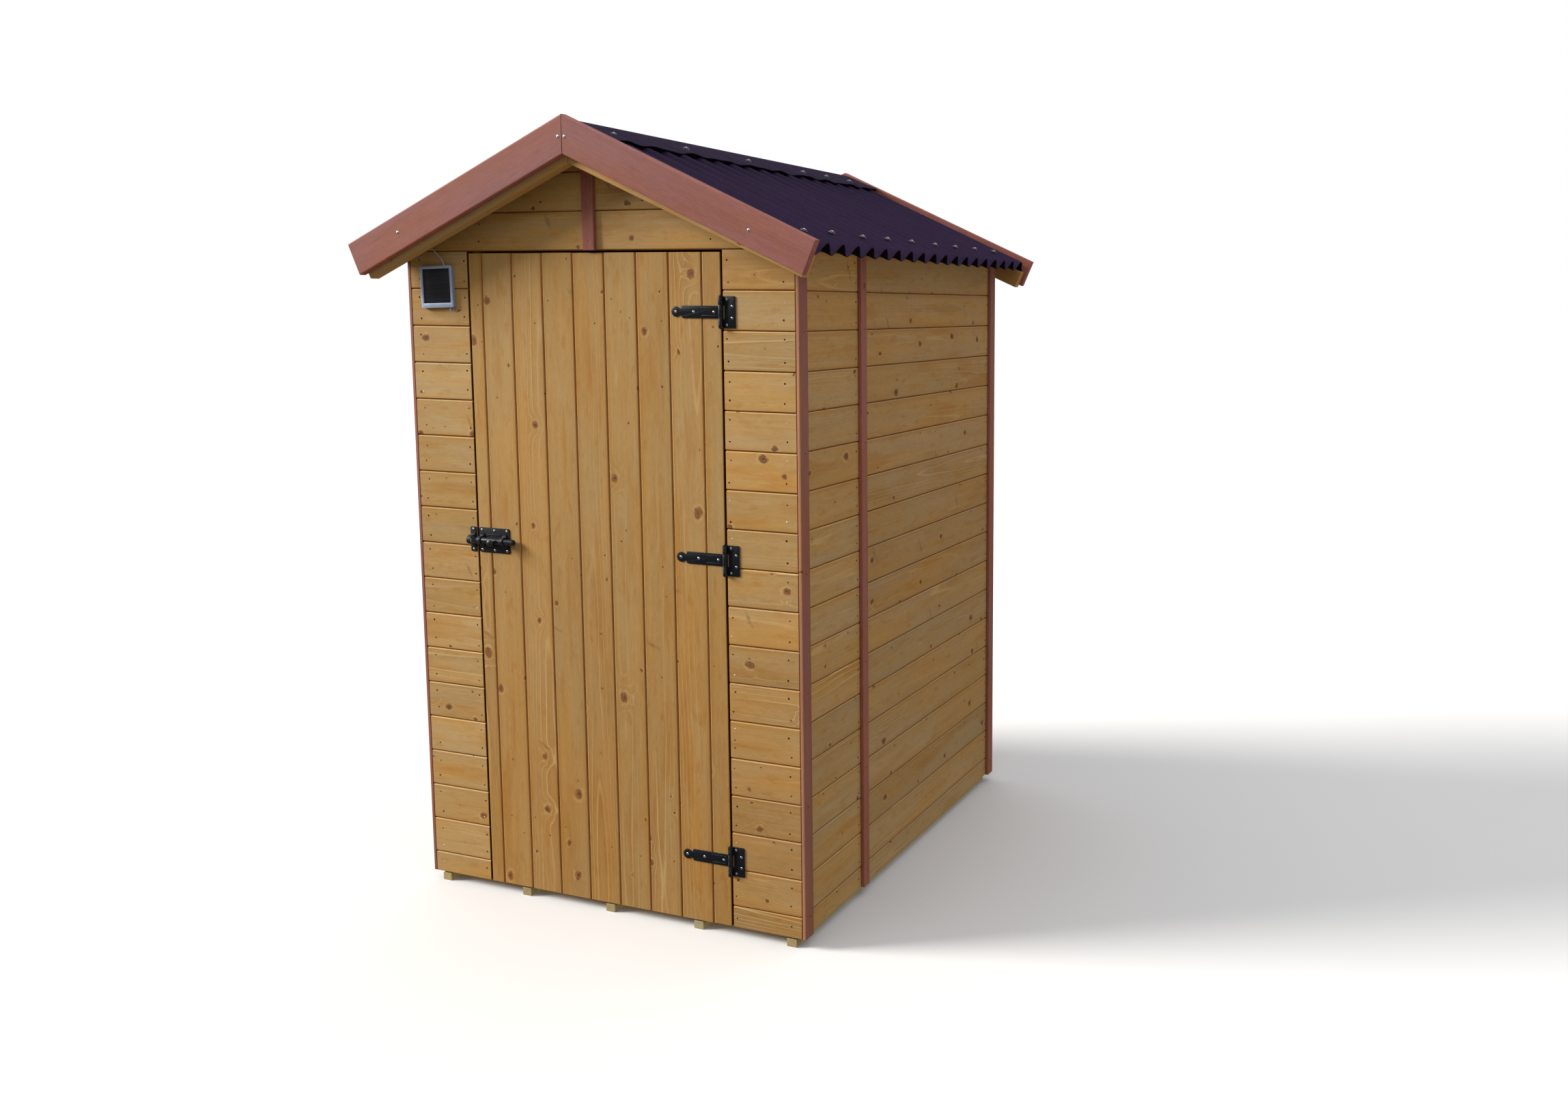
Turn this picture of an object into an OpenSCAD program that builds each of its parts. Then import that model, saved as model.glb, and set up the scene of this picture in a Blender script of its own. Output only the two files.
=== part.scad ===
// Wooden outhouse: a small boarded cabin on bearers, with a ledged plank door,
// strap hinges, a barrel bolt and a corrugated bitumen gable roof.
// Millimetres, +Z up, front towards -Y, origin on the ground under the middle.

/* [Overall] */
// Width over the roof edges
roof_w = 1355; // [1300:5:1400]
// Depth over the front and rear barge boards
roof_d = 1464; // [1420:2:1520]
// Height to the peak of the barge boards
ridge_z = 2030; // [2010:5:2060]
// Roof slope in degrees
slope = 24; // [22:0.5:25]

/* [Walls] */
// Half width over the boarding
wall_hw = 570; // [560:1:575]
// Half depth over the boarding
wall_hd = 636; // [620:1:640]
// Boarding thickness
board_t = 18; // [16:1:20]
// Height of the lower edge of the boarding above ground
wall_z0 = 25; // [20:1:32]
// Height of the doorway head
head_z = 1712.7; // [1700:0.1:1716]
// Frame timber width
post_w = 45; // [38:1:50]

/* [Trims] */
// Thickness of the flat trims
trim_t = 10; // [8:1:12]
// Width of the corner trims
corner_trim_w = 40; // [36:1:46]
// Width of the trims over the side joints
side_trim_w = 32; // [26:1:38]
// Distance from the front boarding to the side joint trim
side_joint = 318; // [300:1:340]
// Width of the gable trim
gable_trim_w = 35; // [30:1:40]

/* [Floor] */
// Width of a bearer
bearer_w = 28; // [25:1:45]
// Height of a bearer
bearer_h = 45; // [40:1:50]
// Thickness of the floor boards
floor_t = 18; // [16:1:20]

/* [Roof] */
// Width of the barge boards, across the slope
barge_w = 86; // [80:1:92]
// Thickness of the barge boards
barge_t = 20; // [18:1:22]
// Thickness of the verge rafters
rafter_t = 28; // [24:1:32]
// Depth below the barge top where the verge rafters end
rafter_n = 104; // [98:1:110]
// Corrugation height
wave_h = 32; // [28:1:36]
// Number of corrugations between the barge boards
waves = 18.5; // [17.5:0.5:19.5]
// Thickness of the corrugated sheet
sheet_t = 3; // [2.5:0.5:4]
// Depth of the wave crests below the barge top
crest_n = 10; // [8:1:14]
// Width of one wing of the ridge cap
cap_w = 135; // [120:1:150]

/* [Door] */
// Left edge of the doorway
door_x0 = -384; // [-390:1:-380]
// Right edge of the doorway
door_x1 = 374; // [370:1:380]
// Gap around the door leaf
door_gap = 5; // [5:0.5:7]
// Heights of the hinge centres, from the lowest
hinge_z1 = 198; // [170:1:220]
// Middle hinge height
hinge_z2 = 963; // [940:1:990]
// Top hinge height
hinge_z3 = 1565; // [1540:1:1590]
// Length of a hinge strap from the pin
strap_l = 140; // [130:1:160]
// Width of a hinge strap
strap_w = 30; // [28:1:36]
// Height of the barrel bolt
latch_z = 964; // [930:1:980]
// Travel of the barrel bolt
bolt_travel = 40; // [34:1:42]

/* [Panel] */
// Width of the small solar panel
panel_w = 103; // [98:1:108]
// Height of the small solar panel
panel_h = 108; // [100:1:116]
// Thickness of the small solar panel
panel_t = 10; // [9:1:14]
// Tilt of the panel on the wall, in degrees
panel_roll = 1.8; // [0:0.1:3]

/* [Hidden] */
$fn = 48;

roof_hw = roof_w / 2;
roof_hd = roof_d / 2;
slope_l = roof_hw / cos(slope);          // length of a barge along the slope
sheet_n = crest_n + wave_h;              // underside of the sheets
gable_n = sheet_n + 2;                   // top edge of the gable boards
inner_hw = wall_hw - board_t;
inner_hd = wall_hd - board_t;
floor_z = bearer_h + floor_t;
plate_z = 1690;                          // underside of the top plates
joint_y = -wall_hd + side_joint;         // front edge of the side joint trim
joint_c = joint_y + side_trim_w / 2;     // joint line of the side boards
face_y = -wall_hd;                       // front face of the boarding and door
leaf_x0 = door_x0 + door_gap;
leaf_x1 = door_x1 - door_gap;
leaf_z1 = head_z - door_gap;
hinge_zs = [hinge_z1, hinge_z2, hinge_z3];
hinge_x = (leaf_x1 + door_x1) / 2;       // hinge pin axis
hinge_y = face_y - 6;
knuckle_r = 5.5;
pin_r = 2.5;
hinge_t = 2.5;
leaf_h = 76;                             // height of a hinge leaf
bolt_r = 8;
bolt_y = face_y - 11;                    // bolt axis
latch_x0 = leaf_x0 + 2;                  // left edge of the latch plate
latch_l = 98;
latch_h = 66;
keeper_x1 = door_x0 - 2;
keeper_w = 20;
panel_c = [-478, 1622];                  // middle of the panel, x and z
lead_r = 1.5;
lead_hole = [-513, 1738];                // where the lead enters the gable

pine = [0.80, 0.58, 0.30];
brown = [0.55, 0.30, 0.23];
pale = [0.87, 0.72, 0.42];
green = [0.55, 0.58, 0.38];
bitumen = [0.19, 0.14, 0.20];
black = [0.08, 0.08, 0.09];
silver = [0.72, 0.74, 0.77];
cellblue = [0.05, 0.06, 0.10];

// A point s down the right slope and n below the barge tops.
function sx(s, n) = s * cos(slope) - n * sin(slope);
function sz(s, n) = ridge_z - s * sin(slope) - n * cos(slope);
// Height of the plane n below the barge tops at distance x from the middle.
function nz(x, n) = ridge_z - abs(x) * tan(slope) - n / cos(slope);

// Extrudes an outline drawn in x and z between two depths.
module xz(y0, y1) {
  translate([0, y1, 0]) rotate([90, 0, 0]) linear_extrude(y1 - y0) children();
}
module box(a, b) { translate(a) cube(b - a); }
// Cylinder along x, and along y.
module rod_x(x0, x1, r) { translate([x0, 0, 0]) rotate([0, 90, 0]) cylinder(r = r, h = x1 - x0); }
module rod_y(y0, y1, r) { translate([0, y0, 0]) rotate([-90, 0, 0]) cylinder(r = r, h = y1 - y0); }
module left_of() { mirror([1, 0, 0]) children(); }

// Outline of a strip along the right slope, mitred at the middle.
module slope_strip(n0, n1, s1) {
  polygon([[0, nz(0, n0)], [sx(s1, n0), sz(s1, n0)], [sx(s1, n1), sz(s1, n1)], [0, nz(0, n1)]]);
}
// Outlines of the roof timbers that pass through the gables.
ridge_hw = 22.5;
ridge_z0 = 1922;
module ridge_outline() {
  polygon([[-ridge_hw, ridge_z0], [ridge_hw, ridge_z0], [ridge_hw, nz(ridge_hw, sheet_n)],
    [0, nz(0, sheet_n)], [-ridge_hw, nz(ridge_hw, sheet_n)]]);
}
purlin_s = [330, 375];
purlin_n1 = sheet_n + 28;
module purlin_outline() {
  polygon([[sx(purlin_s[0], sheet_n), sz(purlin_s[0], sheet_n)], [sx(purlin_s[1], sheet_n), sz(purlin_s[1], sheet_n)],
    [sx(purlin_s[1], purlin_n1), sz(purlin_s[1], purlin_n1)], [sx(purlin_s[0], purlin_n1), sz(purlin_s[0], purlin_n1)]]);
}
module plate_outline() {
  x0 = inner_hw - post_w;
  polygon([[x0, plate_z], [inner_hw, plate_z], [inner_hw, nz(inner_hw, sheet_n)], [x0, nz(x0, sheet_n)]]);
}
module roof_timbers() {
  ridge_outline();
  for (m = [0, 1]) mirror([m, 0]) purlin_outline();
}
module gable_outline() {
  difference() {
    polygon([[-wall_hw, head_z], [wall_hw, head_z], [wall_hw, nz(wall_hw, gable_n)], [0, nz(0, gable_n)], [-wall_hw, nz(wall_hw, gable_n)]]);
    roof_timbers();
  }
}

// ---- ground frame and floor ----
bearer_xs = [-(inner_hw - bearer_w / 2), -(inner_hw - bearer_w / 2) / 2, 0, (inner_hw - bearer_w / 2) / 2, inner_hw - bearer_w / 2];
front_in = face_y + board_t + 6;         // floor and bearers stop short of the door
module bearers() {
  color(green) for (x = bearer_xs) box([x - bearer_w / 2, front_in, 0], [x + bearer_w / 2, inner_hd, bearer_h]);
}
// Notched front ends of the bearers, low enough to clear the door above them.
module bearer_ends() {
  color(green) for (x = bearer_xs) box([x - bearer_w / 2, face_y + 3, 0], [x + bearer_w / 2, front_in, wall_z0 - 5]);
}
module floor_deck() {
  color(pine) box([-inner_hw, front_in, bearer_h], [inner_hw, inner_hd, floor_z]);
}

// ---- frame ----
module post(x0, y0, z1) { box([x0, y0, floor_z], [x0 + post_w, y0 + post_w, z1]); }
module corner_posts() {
  color(pale) for (x = [-inner_hw, inner_hw - post_w], y = [-inner_hd, inner_hd - post_w]) post(x, y, plate_z);
}
module joint_posts() {
  color(pale) for (x = [-inner_hw, inner_hw - post_w]) post(x, joint_c - post_w / 2, plate_z);
}
module door_posts() {
  color(pale) { post(door_x0 - post_w, -inner_hd, head_z); post(door_x1, -inner_hd, head_z); }
}
module door_header() {
  color(pale) box([door_x0 - post_w, -inner_hd, head_z], [door_x1 + post_w, -inner_hd + post_w, head_z + post_w]);
}
module door_stop() {
  color(pale) box([door_x0, -inner_hd + 6, floor_z], [door_x0 + 18, -inner_hd + 26, head_z]);
}
module top_plates() {
  color(pale) for (m = [0, 1]) mirror([m, 0, 0]) xz(-inner_hd, inner_hd) plate_outline();
}

// ---- boarding ----
module front_strip(x0, x1) {
  color(pine) box([x0, face_y, wall_z0], [x1, face_y + board_t, head_z]);
}
module front_wall_left() { front_strip(-wall_hw, door_x0); }
module front_wall_right() { front_strip(door_x1, wall_hw); }
module front_gable() {
  color(pine) difference() {
    xz(face_y, face_y + board_t) gable_outline();
    translate([lead_hole[0], 0, lead_hole[1]]) rod_y(face_y - 1, face_y + board_t + 1, 3);
  }
}
side_top = floor(nz(wall_hw, gable_n));
module side_panel(x0, y0, y1) { color(pine) box([x0, y0, wall_z0], [x0 + board_t, y1, side_top]); }
module side_wall_left_front() { side_panel(-wall_hw, -inner_hd, joint_c); }
module side_wall_left_rear() { side_panel(-wall_hw, joint_c, inner_hd); }
module side_wall_right_front() { side_panel(inner_hw, -inner_hd, joint_c); }
module side_wall_right_rear() { side_panel(inner_hw, joint_c, inner_hd); }
module rear_wall() {
  color(pine) box([-wall_hw, inner_hd, wall_z0], [wall_hw, wall_hd, head_z]);
}
module rear_gable() { color(pine) xz(inner_hd, wall_hd) gable_outline(); }

// ---- trims ----
trim_top = floor(nz(wall_hw + trim_t, gable_n));
module flat_trim(side, y0, w) {
  color(brown) box([side > 0 ? wall_hw : -wall_hw - trim_t, y0, wall_z0], [side > 0 ? wall_hw + trim_t : -wall_hw, y0 + w, trim_top]);
}
module corner_trim_front_left() { flat_trim(-1, -wall_hd, corner_trim_w); }
module corner_trim_front_right() { flat_trim(1, -wall_hd, corner_trim_w); }
module corner_trim_rear_left() { flat_trim(-1, wall_hd - corner_trim_w, corner_trim_w); }
module corner_trim_rear_right() { flat_trim(1, wall_hd - corner_trim_w, corner_trim_w); }
module side_trim_left() { flat_trim(-1, joint_y, side_trim_w); }
module side_trim_right() { flat_trim(1, joint_y, side_trim_w); }
module gable_trim() {
  color(brown) box([-gable_trim_w / 2, face_y - trim_t, head_z], [gable_trim_w / 2, face_y, ridge_z0]);
}

// ---- roof ----
module ridge_beam() { color(pale) xz(-roof_hd + barge_t + rafter_t, roof_hd - barge_t - rafter_t) ridge_outline(); }
module purlins() {
  color(pale) for (m = [0, 1]) mirror([m, 0, 0]) xz(-roof_hd + barge_t + rafter_t, roof_hd - barge_t - rafter_t) purlin_outline();
}
module rafter(y0) { color(pale) xz(y0, y0 + rafter_t) slope_strip(sheet_n, rafter_n, slope_l - 10); }
module verge_rafter_front_right() { rafter(-roof_hd + barge_t); }
module verge_rafter_front_left() { left_of() rafter(-roof_hd + barge_t); }
module verge_rafter_rear_right() { rafter(roof_hd - barge_t - rafter_t); }
module verge_rafter_rear_left() { left_of() rafter(roof_hd - barge_t - rafter_t); }
module barge(y0) { color(brown) xz(y0, y0 + barge_t) slope_strip(0, barge_w, slope_l); }
module barge_front_right() { barge(-roof_hd); }
module barge_front_left() { left_of() barge(-roof_hd); }
module barge_rear_right() { barge(roof_hd - barge_t); }
module barge_rear_left() { left_of() barge(roof_hd - barge_t); }

// Corrugated sheet: waves run down the slope, the outline is drawn across it.
sheet_hd = roof_hd - barge_t - 2;
wave_steps = 8;
wave_count = round(waves * wave_steps);
wave_amp = (wave_h - sheet_t) / 2;
function wave_y(i) = -sheet_hd + 2 * sheet_hd * i / wave_count;
function wave_v(i) = -(crest_n + wave_h / 2) + wave_amp * sin(360 * i / wave_steps + 90);
module sheet_outline() {
  polygon(concat(
    [for (i = [0 : wave_count]) [wave_y(i), wave_v(i) + sheet_t / 2]],
    [for (i = [wave_count : -1 : 0]) [wave_y(i), wave_v(i) - sheet_t / 2]]));
}
module roof_sheet() {
  color(bitumen) translate([0, 0, ridge_z]) rotate([0, slope, 0])
    translate([22, 0, 0]) rotate([90, 0, 90]) linear_extrude(slope_l - 18 - 22) sheet_outline();
}
module roof_sheet_right() { roof_sheet(); }
module roof_sheet_left() { left_of() roof_sheet(); }
cap_n = crest_n - 4;
module ridge_cap() {
  color(bitumen) xz(-sheet_hd, sheet_hd)
    polygon([[0, nz(0, cap_n)], [sx(cap_w, cap_n), sz(cap_w, cap_n)], [sx(cap_w, crest_n), sz(cap_w, crest_n)], [0, nz(0, crest_n)],
      [-sx(cap_w, crest_n), sz(cap_w, crest_n)], [-sx(cap_w, cap_n), sz(cap_w, cap_n)]]);
}

// ---- door ----
module door_leaf() {
  color(pine) box([leaf_x0, face_y, wall_z0], [leaf_x1, face_y + board_t, leaf_z1]);
}
module door_ledges() {
  color(pine) for (z = hinge_zs) box([leaf_x0 + 30, face_y + board_t, z - 45], [leaf_x1 - 30, face_y + board_t + 20, z + 45]);
}
// Strap with a round end and a knuckle around the pin.
module strap() {
  difference() {
    union() {
      translate([hinge_x - strap_l + 12.5, face_y - hinge_t, 0]) rod_y(0, hinge_t, 12.5);
      box([hinge_x - strap_l + 22, face_y - hinge_t, -strap_w / 2], [hinge_x - 3.5, face_y, strap_w / 2]);
      translate([hinge_x, hinge_y, -strap_w / 2]) cylinder(r = knuckle_r, h = strap_w);
    }
    translate([hinge_x, hinge_y, -strap_w]) cylinder(r = pin_r + 0.4, h = 2 * strap_w);
  }
}
module hinge_straps() { color(black) for (z = hinge_zs) translate([0, 0, z]) strap(); }
// Leaf on the wall with two knuckles and the pin.
module hinge_leaf() {
  k0 = strap_w / 2 + 1;
  union() {
    box([hinge_x + knuckle_r + 1, face_y - hinge_t, -leaf_h / 2], [hinge_x + 38, face_y, leaf_h / 2]);
    for (s = [-1, 1]) {
      box([hinge_x + 3.5, face_y - hinge_t, s > 0 ? k0 : -leaf_h / 2], [hinge_x + 10, face_y, s > 0 ? leaf_h / 2 : -k0]);
      translate([hinge_x, hinge_y, s > 0 ? k0 : -leaf_h / 2]) cylinder(r = knuckle_r, h = leaf_h / 2 - k0);
    }
    translate([hinge_x, hinge_y, -leaf_h / 2]) cylinder(r = pin_r, h = leaf_h);
  }
}
module hinge_leaves() { color(black) for (z = hinge_zs) translate([0, 0, z]) hinge_leaf(); }

// ---- barrel bolt ----
// Bridge over the bolt, from x0 to x1.
module guide(x0, x1, base, play) {
  ro = bolt_r + play + 2;
  difference() {
    union() {
      intersection() {
        translate([0, bolt_y, 0]) rod_x(x0, x1, ro);
        box([x0, bolt_y - ro, -ro], [x1, bolt_y, ro]);
      }
      box([x0, bolt_y, -ro], [x1, face_y - base, ro]);
      box([x0, face_y - base - 2, -ro - 9], [x1, face_y - base, ro + 9]);
    }
    translate([0, bolt_y, 0]) rod_x(x0 - 1, x1 + 1, bolt_r + play);
    box([x0 - 1, bolt_y, -bolt_r - play], [x1 + 1, face_y - base, bolt_r + play]);
  }
}
guide_1 = [latch_x0 + 4, latch_x0 + 16];
guide_2 = [latch_x0 + 76, latch_x0 + 88];
module latch_plate() {
  color(black) translate([0, 0, latch_z]) {
    box([latch_x0, face_y - 2, -latch_h / 2], [latch_x0 + latch_l, face_y, latch_h / 2]);
    guide(guide_1[0], guide_1[1], 2, 0.6);
    guide(guide_2[0], guide_2[1], 2, 0.6);
  }
}
handle_x = guide_2[0] - 10;              // handle of the drawn bolt, between the guides
module latch_bolt() {
  color(black) translate([0, 0, latch_z]) {
    translate([0, bolt_y, 0]) rod_x(latch_x0 + 3, guide_2[0] + 3 + bolt_travel, bolt_r);
    translate([handle_x, 0, 0]) rod_y(bolt_y - 30, bolt_y, 4.5);
    translate([handle_x, 0, 0]) rod_y(bolt_y - 34, bolt_y - 22, 8.5);
  }
}
module latch_keeper() {
  color(black) translate([0, 0, latch_z]) {
    box([keeper_x1 - keeper_w, face_y - 2, -latch_h / 2], [keeper_x1, face_y, latch_h / 2]);
    guide(keeper_x1 - keeper_w + 4, keeper_x1 - 4, 2, 2);
  }
}

// ---- solar panel ----
module on_panel() { translate([panel_c[0], face_y, panel_c[1]]) rotate([0, -panel_roll, 0]) children(); }
rim = 7.5;                               // panel frame width, and its wider foot
foot = 12;
module panel_frame() {
  color(silver) on_panel() difference() {
    box([-panel_w / 2, -panel_t, -panel_h / 2], [panel_w / 2, 0, panel_h / 2]);
    box([-panel_w / 2 + rim, -panel_t - 1, -panel_h / 2 + foot], [panel_w / 2 - rim, -4, panel_h / 2 - rim]);
  }
}
module panel_cell() {
  color(cellblue) on_panel() box([-panel_w / 2 + rim, -panel_t + 2.5, -panel_h / 2 + foot], [panel_w / 2 - rim, -4, panel_h / 2 - rim]);
}
// Thin lead from the top of the panel along the wall and into the gable.
lead_y = face_y - 4;
lead_path = [[-455, lead_y, 1676.9], [-456, lead_y, 1683], [-459, lead_y, 1689], [-465, lead_y, 1697], [-475, lead_y, 1706],
  [-487, lead_y, 1716], [-498, lead_y, 1725], [-506, lead_y, 1731.5], [-511, lead_y + 1, 1736], [-513, lead_y + 4, 1738], [-513, lead_y + 10, 1738], [-513, lead_y + 20, 1738]];
function unit(v) = v / norm(v);
function tangent(p, i) = unit(p[min(i + 1, len(p) - 1)] - p[max(i - 1, 0)]);
lead_sides = 8;
// A ring of points around the lead at each point of its path.
function ring(p, i) = let (t = tangent(p, i), a = unit(cross([0.9, 0.1, 0.6], t)), b = cross(t, a))
  [for (k = [0 : lead_sides - 1]) p[i] + lead_r * (a * cos(360 * k / lead_sides) + b * sin(360 * k / lead_sides))];
module sweep(p) {
  n = len(p);
  polyhedron(points = [for (i = [0 : n - 1]) each ring(p, i)],
    faces = concat([[for (k = [0 : lead_sides - 1]) k]],
      [for (i = [0 : n - 2], k = [0 : lead_sides - 1]) let (k2 = (k + 1) % lead_sides)
        [i * lead_sides + k, (i + 1) * lead_sides + k, (i + 1) * lead_sides + k2, i * lead_sides + k2]],
      [[for (k = [lead_sides - 1 : -1 : 0]) (n - 1) * lead_sides + k]]));
}
module panel_lead() { color(black) sweep(lead_path); }

bearers();
bearer_ends();
floor_deck();
corner_posts();
joint_posts();
door_posts();
door_header();
door_stop();
top_plates();
front_wall_left();
front_wall_right();
front_gable();
side_wall_left_front();
side_wall_left_rear();
side_wall_right_front();
side_wall_right_rear();
rear_wall();
rear_gable();
corner_trim_front_left();
corner_trim_front_right();
corner_trim_rear_left();
corner_trim_rear_right();
side_trim_left();
side_trim_right();
gable_trim();
ridge_beam();
purlins();
verge_rafter_front_left();
verge_rafter_front_right();
verge_rafter_rear_left();
verge_rafter_rear_right();
roof_sheet_left();
roof_sheet_right();
ridge_cap();
barge_front_left();
barge_front_right();
barge_rear_left();
barge_rear_right();
door_leaf();
door_ledges();
hinge_straps();
hinge_leaves();
latch_plate();
latch_bolt();
latch_keeper();
panel_frame();
panel_cell();
panel_lead();
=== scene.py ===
import bpy, bmesh, math, random
from mathutils import Vector, Matrix


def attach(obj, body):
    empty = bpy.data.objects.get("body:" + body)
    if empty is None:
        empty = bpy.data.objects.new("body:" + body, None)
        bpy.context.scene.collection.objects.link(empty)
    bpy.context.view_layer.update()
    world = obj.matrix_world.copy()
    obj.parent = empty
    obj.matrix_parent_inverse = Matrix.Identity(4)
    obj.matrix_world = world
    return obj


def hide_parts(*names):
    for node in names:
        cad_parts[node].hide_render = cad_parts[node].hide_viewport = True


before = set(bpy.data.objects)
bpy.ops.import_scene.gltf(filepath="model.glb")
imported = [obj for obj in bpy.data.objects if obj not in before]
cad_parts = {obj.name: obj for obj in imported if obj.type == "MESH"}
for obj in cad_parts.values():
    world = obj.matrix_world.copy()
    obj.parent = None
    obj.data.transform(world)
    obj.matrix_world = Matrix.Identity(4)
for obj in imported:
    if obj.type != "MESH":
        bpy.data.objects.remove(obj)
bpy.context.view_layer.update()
scene = bpy.context.scene

# ------------------------------------------------------------------ camera (photo frame 2296 x 1623)
F, CX, CY = 1920.0, 1500.0, 671.0
AZ, EL, ROLL = math.radians(19.72), math.radians(6.64), math.radians(0.50)
EYE = Vector((2.115, -3.353, 1.587))
fwd = Vector((-math.sin(AZ) * math.cos(EL), math.cos(AZ) * math.cos(EL), -math.sin(EL)))
right = fwd.cross(Vector((0, 0, 1))).normalized()
up = right.cross(fwd)
r2 = right * math.cos(ROLL) + up * math.sin(ROLL)
u2 = up * math.cos(ROLL) - right * math.sin(ROLL)
cam_data = bpy.data.cameras.new("camera")
cam_data.sensor_width = 36.0
cam_data.sensor_fit = "HORIZONTAL"
cam_data.lens = F / 2296.0 * 36.0
cam_data.shift_x = (1148.0 - CX) / 2296.0
cam_data.shift_y = (CY - 811.5) / 2296.0
cam_data.clip_start, cam_data.clip_end = 0.05, 400.0
cam = bpy.data.objects.new("camera", cam_data)
m = Matrix.Identity(4)
for i in range(3):
    m[i][0], m[i][1], m[i][2], m[i][3] = r2[i], u2[i], -fwd[i], EYE[i]
cam.matrix_world = m
scene.collection.objects.link(cam)
scene.camera = cam

# ------------------------------------------------------------------ mesh helpers (millimetres in, metres out)
TAN, COS, SIN = math.tan(math.radians(24)), math.cos(math.radians(24)), math.sin(math.radians(24))
PEAK = 2030.0


class Acc:
    """Collects many small solids into one mesh, with the board coordinates that the materials read."""

    def __init__(self):
        self.v, self.f, self.g, self.r, self.e, self.m = [], [], [], [], [], []

    def add(self, verts, faces, g=None, rnd=0.5, edge=None, mat=0):
        b = len(self.v)
        self.v += [tuple(p) for p in verts]
        self.f += [tuple(b + i for i in f) for f in faces]
        self.g += list(g) if g else [tuple(p) for p in verts]
        self.r += [rnd] * len(verts)
        self.e += list(edge) if edge else [0.0] * len(verts)
        self.m += [mat] * len(faces)


def make(name, acc, mats, body, nodes=(), sharp=32):
    me = bpy.data.meshes.new(name)
    me.from_pydata([(x * .001, y * .001, z * .001) for x, y, z in acc.v], [], acc.f)
    a = me.attributes.new("gpos", "FLOAT_VECTOR", "POINT")
    a.data.foreach_set("vector", [c * .001 for p in acc.g for c in p])
    a = me.attributes.new("rnd", "FLOAT", "POINT")
    a.data.foreach_set("value", acc.r)
    a = me.attributes.new("edge", "FLOAT", "POINT")
    a.data.foreach_set("value", acc.e)
    me.polygons.foreach_set("material_index", acc.m)
    me.polygons.foreach_set("use_smooth", [True] * len(acc.f))
    bm = bmesh.new()
    bm.from_mesh(me)
    bmesh.ops.recalc_face_normals(bm, faces=bm.faces)
    bm.to_mesh(me)
    bm.free()
    me.set_sharp_from_angle(angle=math.radians(sharp))
    for mt in mats if isinstance(mats, (list, tuple)) else [mats]:
        me.materials.append(mt)
    ob = bpy.data.objects.new(name, me)
    scene.collection.objects.link(ob)
    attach(ob, body)
    if nodes:
        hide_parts(*nodes)
    return ob


def V(*a):
    return Vector(a)


X, Y, Z = V(1, 0, 0), V(0, 1, 0), V(0, 0, 1)


def board(A, org, ex, ey, ez, prof, s0, s1, rng, mat=0, step=260.0, bev=0.8, wob=0.2, pith=(18, 75), tilt=.018, taper=0.0, end_shade=0.0):
    """A board: the outline prof (across u, out v, edge mark) drawn from s0 to s1 along ex."""
    f0 = s0 if callable(s0) else (lambda u: s0)
    f1 = s1 if callable(s1) else (lambda u: s1)
    us = [p[0] for p in prof]
    um = .5 * (min(us) + max(us))
    tmax = max(p[1] for p in prof)
    L = f1(um) - f0(um)
    n = len(prof)
    mids = max(1, int(L / step))
    st = [(0, 0, 1)] + ([(0, bev, 0)] if bev else [])
    st += [((i / (mids + 1)), 0, 0) for i in range(1, mids + 1)]
    st += ([(1, -bev, 0)] if bev else []) + [(1, 0, 1)]
    ox, oy, oz = rng.uniform(-40000, 40000), rng.uniform(-38, 38), rng.uniform(*pith) * rng.choice((-1, 1))
    ty, tz = rng.uniform(-tilt, tilt) * .45, rng.uniform(-tilt, tilt)
    rnd = rng.random()
    vs, gs, es = [], [], []
    for t, d, endr in st:
        w = rng.uniform(-wob, wob) if 0 < t < 1 else 0.0
        for u, v, e in prof:
            a, b = f0(u), f1(u)
            x = a + (b - a) * t + d
            uu, vv = u, v
            if taper:
                uu -= taper * t * (u - min(us)) / (max(us) - min(us))
            if endr and bev:
                if v > .7 * tmax:
                    vv = v - bev * .8
                uu = um + (uu - um) * (1 - bev * .8 / max(1.0, (max(us) - um)))
            if v > .45 * tmax:
                vv += w
            vs.append(org + ex * x + ey * uu + ez * vv)
            gs.append((x + ox, u - um + oy + ty * x, v + oz + tz * x))
            # end rings take the end mark: painted shade at the board ends
            es.append(max(e, end_shade) if endr else e)
    fs = []
    for k in range(len(st) - 1):
        for i in range(n):
            j = (i + 1) % n
            fs.append((k * n + i, k * n + j, (k + 1) * n + j, (k + 1) * n + i))
    fs.append(tuple(range(n - 1, -1, -1)))
    fs.append(tuple((len(st) - 1) * n + i for i in range(n)))
    A.add(vs, fs, gs, rnd, es, mat)


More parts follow.
